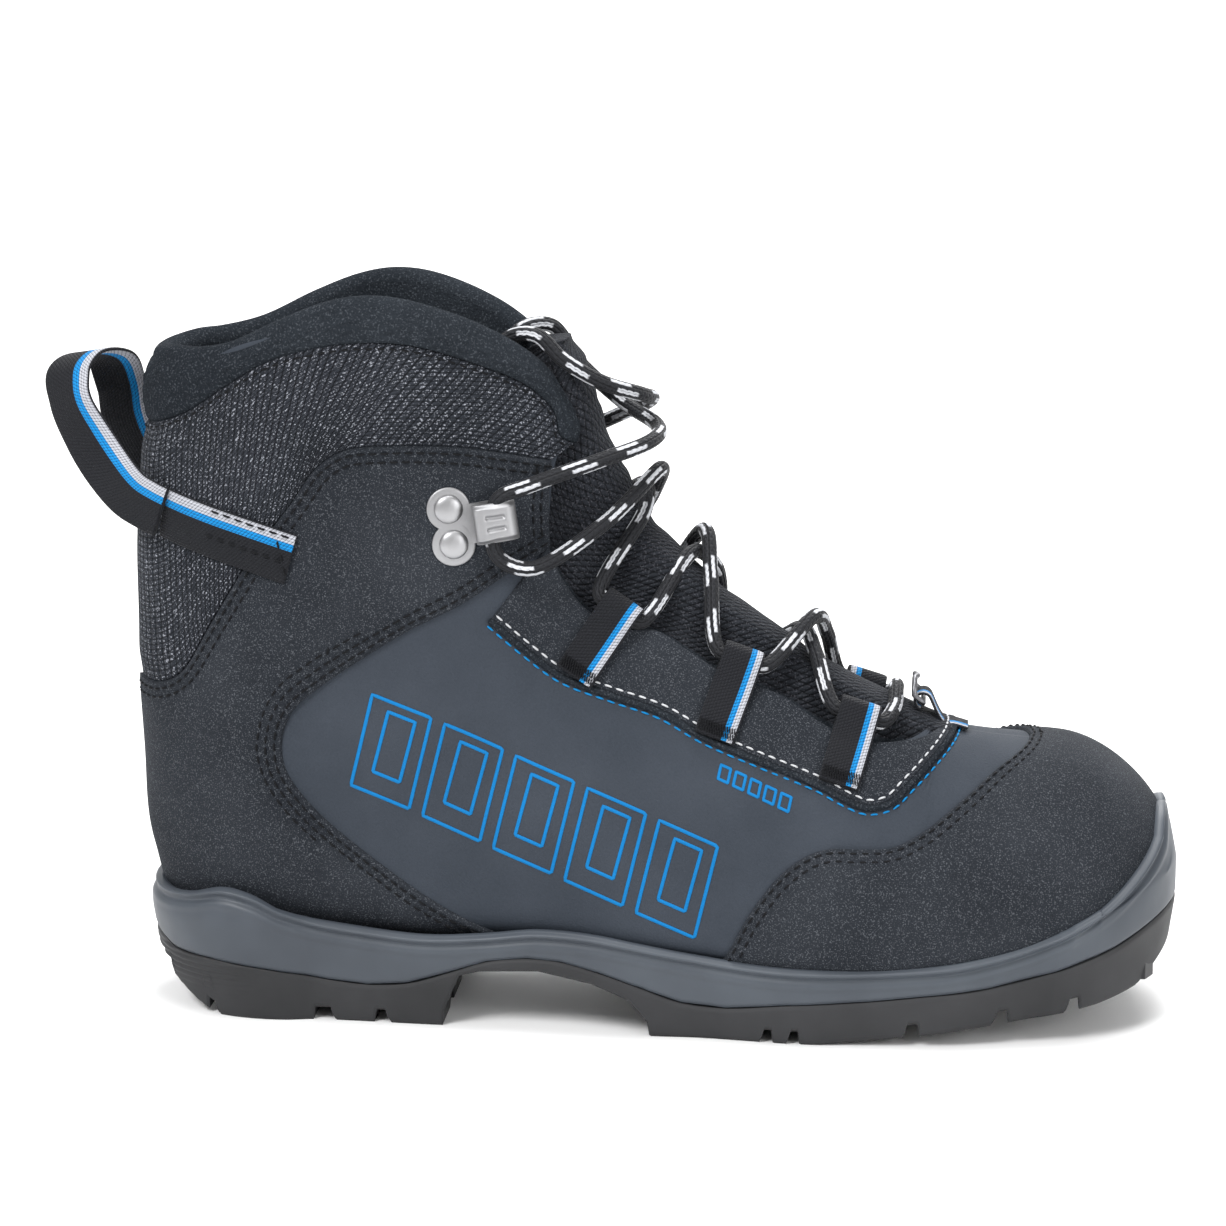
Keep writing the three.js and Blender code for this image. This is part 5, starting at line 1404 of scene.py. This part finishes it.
def make_hook(name, side):
    """Lace hook: a figure-eight base plate, two domed rivets and a bent plate with rolled rims. The
    bent plate follows a side profile, less a roll-down near both rims and two pressed dents."""
    centre, n = on_side(HOOK_X, HOOK_Z, side, 1.6)
    ahead, _ = on_side(HOOK_X + 4, HOOK_Z + 0.6, side, 1.6)
    f = unit(ahead - centre - n * ((ahead - centre) @ n))
    v = np.cross(n, f) * side
    v = v * np.sign(v[2])

    def placed(start, forward, across, high):
        return start + forward[..., None] * f + across[..., None] * v + high[..., None] * n

    build = Build()
    a = round_angles(96)
    edge = DISC_APART * np.abs(np.sin(a)) + np.sqrt(DISC_R**2 - (DISC_APART * np.cos(a)) ** 2)
    rho = np.array([0.3, 0.6, 0.85, 0.94, 0.985, 1.0, 1.0, 0.9, 0.5])[:, None]
    lift = np.array([0.9, 0.9, 0.9, 0.86, 0.74, 0.55, 0.0, -0.1, -0.1])[:, None]
    p = placed(centre, np.cos(a) * edge * rho, np.sin(a) * edge * rho, lift)
    build.rod(p, np.zeros((len(rho), 97, 2)))
    bend = smooth_line([[2.5, 0.45], [8, 0.5], [14.8, 0.6], [17.3, 1.2], [18.4, 3.4], [18.2, 5.8], [17, 7.1],
                        [14.5, 7.5], [10.5, 7.6], [8.3, 7.5], [7.2, 7.0], [6.7, 5.9]], 110)
    w = np.linspace(-1, 1, 61)[None]
    over = ease((np.arange(110)[:, None] - 58) / 12) * np.ones((1, 61))
    rim = ease((np.abs(w) - 0.76) / 0.24) * over
    slope = unit(np.gradient(bend, axis=0))
    along, high = bend[:, :1], bend[:, 1:]
    dents = 0.8 * sum(bump(w, c, 0.12) for c in (-0.3, 0.32)) * over
    dents *= ease((along - 9.4) / 0.8) * ease((15.6 - along) / 0.8)
    half = 5.75 - 0.5 * ease((along - 9) / 4) * over * (1 - rim)
    sheet = placed(centre, along + 0 * w, w * half, high - 1.5 * rim - dents)
    face = placed(0, -slope[:, 1:], 0 * slope[:, 1:], slope[:, :1]) * PLATE_T / 2
    closed_sheet(build, sheet + face, sheet - face, np.stack([along + 0 * w, half * w], -1) / 1000)
    metal = metal_material("satin nickel", (0.36, 0.36, 0.37), 0.5)
    build.make(f"hook_{name}", metal, replaces=[f"lace_hook_{name}"])
    ring = round_angles(48)
    radii = np.array([4.2, 4.2, 4.05, 3.7, 3.1, 2.3, 1.4, 0.6])[:, None]
    heights = np.array([-0.3, 0.15, 0.5, 0.85, 1.15, 1.4, 1.55, 1.6])[:, None]
    domed = metal_material("domed nickel", (0.4, 0.4, 0.41), 0.42)
    for word, sign in (("lower", -1), ("upper", 1)):
        spot = centre + v * sign * DISC_APART + n * 0.9
        rivet = Build()
        rivet.rod(placed(spot, radii * np.cos(ring), radii * np.sin(ring), heights), np.zeros((8, 49, 2)))
        rivet.make(f"rivet_{name}_{word}", domed, replaces=[f"hook_rivet_{name}_{word}"])


STRAP_ENDS = [[-107, 138.6], [-120, 142.5], [-132, 146], [-144.5, 149.8]]
STRAP_ROUTE = [[-146.5, -27.2, 150.3], [-151, -24.6, 151.8], [-157, -21, 154.5], [-164, -15.5, 160.5],
               [-171, -12, 170], [-176, -10.5, 180], [-177, -7.5, 188.5], [-173.5, -1, 192.5],
               [-167.5, 6, 190.5], [-165.2, 10.5, 182], [-164.6, 14.5, 172], [-162, 19, 162.5],
               [-157.5, 22.5, 154.8], [-151, 25, 152], [-146.5, 27, 150.3]]


def make_strap():
    """Pull strap: two webbing legs sewn to the ankle and a loop that stands up behind the heel."""
    web = webbing_material("strap webbing", 0.0098, 0.0120, 0.0146)
    for name, side in (("lateral", 1), ("medial", -1)):
        line = unwrap(smooth_line(STRAP_ENDS, 80)) * [1, side]
        path = skin(*parts(line), 1.6 + STRAP_T / 2)
        normal = outward(*parts(line))
        if side < 0:
            path, normal = path[::-1], normal[::-1]
        ribbon(f"strap_leg_{name}", web, path, normal, STRAP_WIDTH, STRAP_T,
               replaces=[f"strap_anchor_{name}"])
    route = rounded_route(STRAP_ROUTE, 260)
    y, z = route[:, 1], route[:, 2]
    normal = unit(np.stack([-0.3 * ease((z - 160) / 20), y / 14, 1.25 * ease((z - 181) / 11)], -1))
    ribbon("strap_loop", web, route, normal, STRAP_WIDTH, STRAP_T, replaces=["pull_strap"], body="pull_strap")
    rows = []
    height = 1.6 + STRAP_T + 0.1
    for side in (1, -1):
        for across in (-6.4, 1.2):
            ut = unwrap(smooth_line([[-108.5, 139], [-120, 142.5], [-132, 146]], 60)) * [1, side]
            rows.append((inset(ut, across * side), height))
        end = unwrap(np.array([[-108.3, 133.5], [-109.4, 139], [-110.8, 144.8]])) * [1, side]
        rows.append((end, height))
    stitch_rows("strap_stitches", black_thread(), rows)


def make_vamp_loop():
    """Short webbing tunnel across the vamp and the wire hook that swings in it."""
    eye = np.array([75.0, 0.4, 92.9])
    base = surface(np.array([1.93]), np.array([0.0]))[0] + [0, 0, 0.6]
    turn = np.radians(np.linspace(250, 20, 22))
    arc = eye + 2.45 * np.stack([np.cos(turn), 0 * turn, np.sin(turn)], -1)
    tail = [base + [-6, 0, 1.8], base + [-2.5, 0, 1.2], base + [1, 0, 0.2]]
    path = smooth_line(np.concatenate([arc, tail]), 120)
    normal = np.cross(unit(np.gradient(path, axis=0)), [0.0, 1.0, 0.0])
    web = webbing_material("narrow webbing", 0.0062, 0.0079, 0.0094)
    ribbon("vamp_loop_web", web, path, normal, 10.0, 1.0, replaces=["vamp_loop"])
    low, high = (np.array(c) * 1000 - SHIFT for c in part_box("gaiter_hook"))
    wire_r = 0.8
    wire = rounded_route([[75, -5.6, 92.9], [75, 5.6, 92.9], [75, 7.0, 93.4], [73, 7.1, 95.0],
                          [70.6, 6.2, 97.6],
                          [72.0, 3.6, 99.6], [73.3, 0, 99.9], [72.0, -3.6, 99.6], [70.6, -6.2, 97.6],
                          [73, -7.1, 95.0], [75, -7.0, 93.4], [75, -6.0, 92.9]], 260)
    wire[:, 0] = np.clip(wire[:, 0], low[0] + wire_r, high[0] - wire_r)
    steel = metal_material("hook steel", (0.16, 0.16, 0.17), 0.4)
    tube("gaiter_wire", steel, wire, wire_r, sides=16, step=0.3,
         replaces=["gaiter_hook"], body="gaiter_hook")


# ---------- pieces whose CAD shape stays ----------
def dress_kept_parts():
    """Better finishes for the pieces that keep their CAD shape."""
    board = cloth_material("fibre board", (0.3, 0.25, 0.17), (0.46, 0.4, 0.3), 500.0, 0.85, sheen=0.0,
                           bump_mm=0.2)
    felt = cloth_material("footbed felt", (0.04, 0.042, 0.047), (0.1, 0.105, 0.115), 800.0, 0.95, bump_mm=0.4)
    stiff = rubber_material("stiffener sheet", (0.5, 0.48, 0.42), (0.6, 0.57, 0.5), 0.6)
    finishes = {
        "lining_bootie": fleece(),
        "footbed": felt,
        "insole_board": board,
        "toe_bar_insert": rubber_material("insert plastic", (0.015, 0.015, 0.017), (0.03, 0.03, 0.033), 0.45),
        "toe_bar": metal_material("bar steel", (0.55, 0.55, 0.56), 0.25),
        "heel_counter": stiff,
        "toe_puff": stiff,
    }
    for node, material in finishes.items():
        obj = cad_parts[node]
        for n in range(len(obj.material_slots)):
            obj.material_slots[n].material = material


# ---------- add-on ----------
class BootSettings(bpy.types.PropertyGroup):
    """Which parts of the boot are built."""

    with_stage: bpy.props.BoolProperty(
        name="With stage", description="Add the floor, lights and camera", default=True)
    with_stitches: bpy.props.BoolProperty(
        name="With stitches", description="Sew the rows of thread", default=True)
    with_shapes: bpy.props.BoolProperty(
        name="With side shapes", description="Add the raised outlines", default=True)


def builder(idname, label, text, work):
    """An operator class that runs one piece's making and fails aloud if it can't finish."""

    def execute(self, context):
        work(context.scene.boot_settings)
        return {"FINISHED"}

    return type("BOOT_OT_" + idname, (bpy.types.Operator,), {
        "__doc__": text, "bl_idname": "boot." + idname, "bl_label": label, "execute": execute})


def stage_work(settings):
    if settings.with_stage:
        make_camera()
        make_floor()
        make_lights()


def loops_work(settings):
    for name in LACE_LOOPS:
        make_lace_loop(name)
    make_loop_tacks()


def hooks_work(settings):
    make_hook("lateral", 1)
    make_hook("medial", -1)


def stitches_work(settings):
    if settings.with_stitches:
        make_stitches()
    if settings.with_shapes:
        make_side_shapes()


OPERATORS = [
    builder("stage", "Stage", "Camera, pale floor and soft lights", stage_work),
    builder("lace", "Lace", "The one braided lace and its tips", lambda s: make_lace()),
    builder("upper", "Upper", "The softshell skin", lambda s: make_upper()),
    builder("ankle_knit", "Ankle knit", "Ribbed knit round the ankle", lambda s: make_ankle_knit()),
    builder("overlay", "Heel overlay", "Overlay round heel and ankle", lambda s: make_overlay()),
    builder("toe_cap", "Toe cap", "Overlay on the toe", lambda s: make_toe_cap()),
    builder("eyestays", "Eyestays", "Lace facings and their piping", lambda s: make_eyestays()),
    builder("tongue", "Tongue", "The padded tongue", lambda s: make_tongue()),
    builder("collar", "Collar", "The padded fleece collar", lambda s: make_collar()),
    builder("loops", "Lace loops", "Webbing loops and their tacks", loops_work),
    builder("hooks", "Lace hooks", "Hooks and rivets", hooks_work),
    builder("strap", "Pull strap", "Strap legs and loop", lambda s: make_strap()),
    builder("vamp_loop", "Vamp loop", "Vamp tunnel and wire hook", lambda s: make_vamp_loop()),
    builder("rand", "Rand", "The moulded rand", lambda s: make_rand()),
    builder("outsole", "Outsole", "The tread", lambda s: make_outsole()),
    builder("stitches", "Stitches", "Rows of thread and side shapes", stitches_work),
    builder("kept", "Kept parts", "Finishes of the parts that keep their shape",
            lambda s: dress_kept_parts()),
]


class BOOT_PT_panel(bpy.types.Panel):
    """Buttons of the boot builder in the sidebar."""

    bl_label = "Boot"
    bl_idname = "BOOT_PT_panel"
    bl_space_type = "VIEW_3D"
    bl_region_type = "UI"
    bl_category = "Boot"

    def draw(self, context):
        settings = context.scene.boot_settings
        for name in ("with_stage", "with_stitches", "with_shapes"):
            self.layout.prop(settings, name)
        for cls in OPERATORS:
            self.layout.operator(cls.bl_idname)


CLASSES = [BootSettings, *OPERATORS, BOOT_PT_panel]


def register():
    for cls in CLASSES:
        bpy.utils.register_class(cls)
    bpy.types.Scene.boot_settings = bpy.props.PointerProperty(type=BootSettings)


def unregister():
    del bpy.types.Scene.boot_settings
    for cls in reversed(CLASSES):
        bpy.utils.unregister_class(cls)


def main():
    register()
    for cls in OPERATORS:
        getattr(bpy.ops.boot, cls.bl_idname.split(".")[1])()


if __name__ == "__main__":
    main()
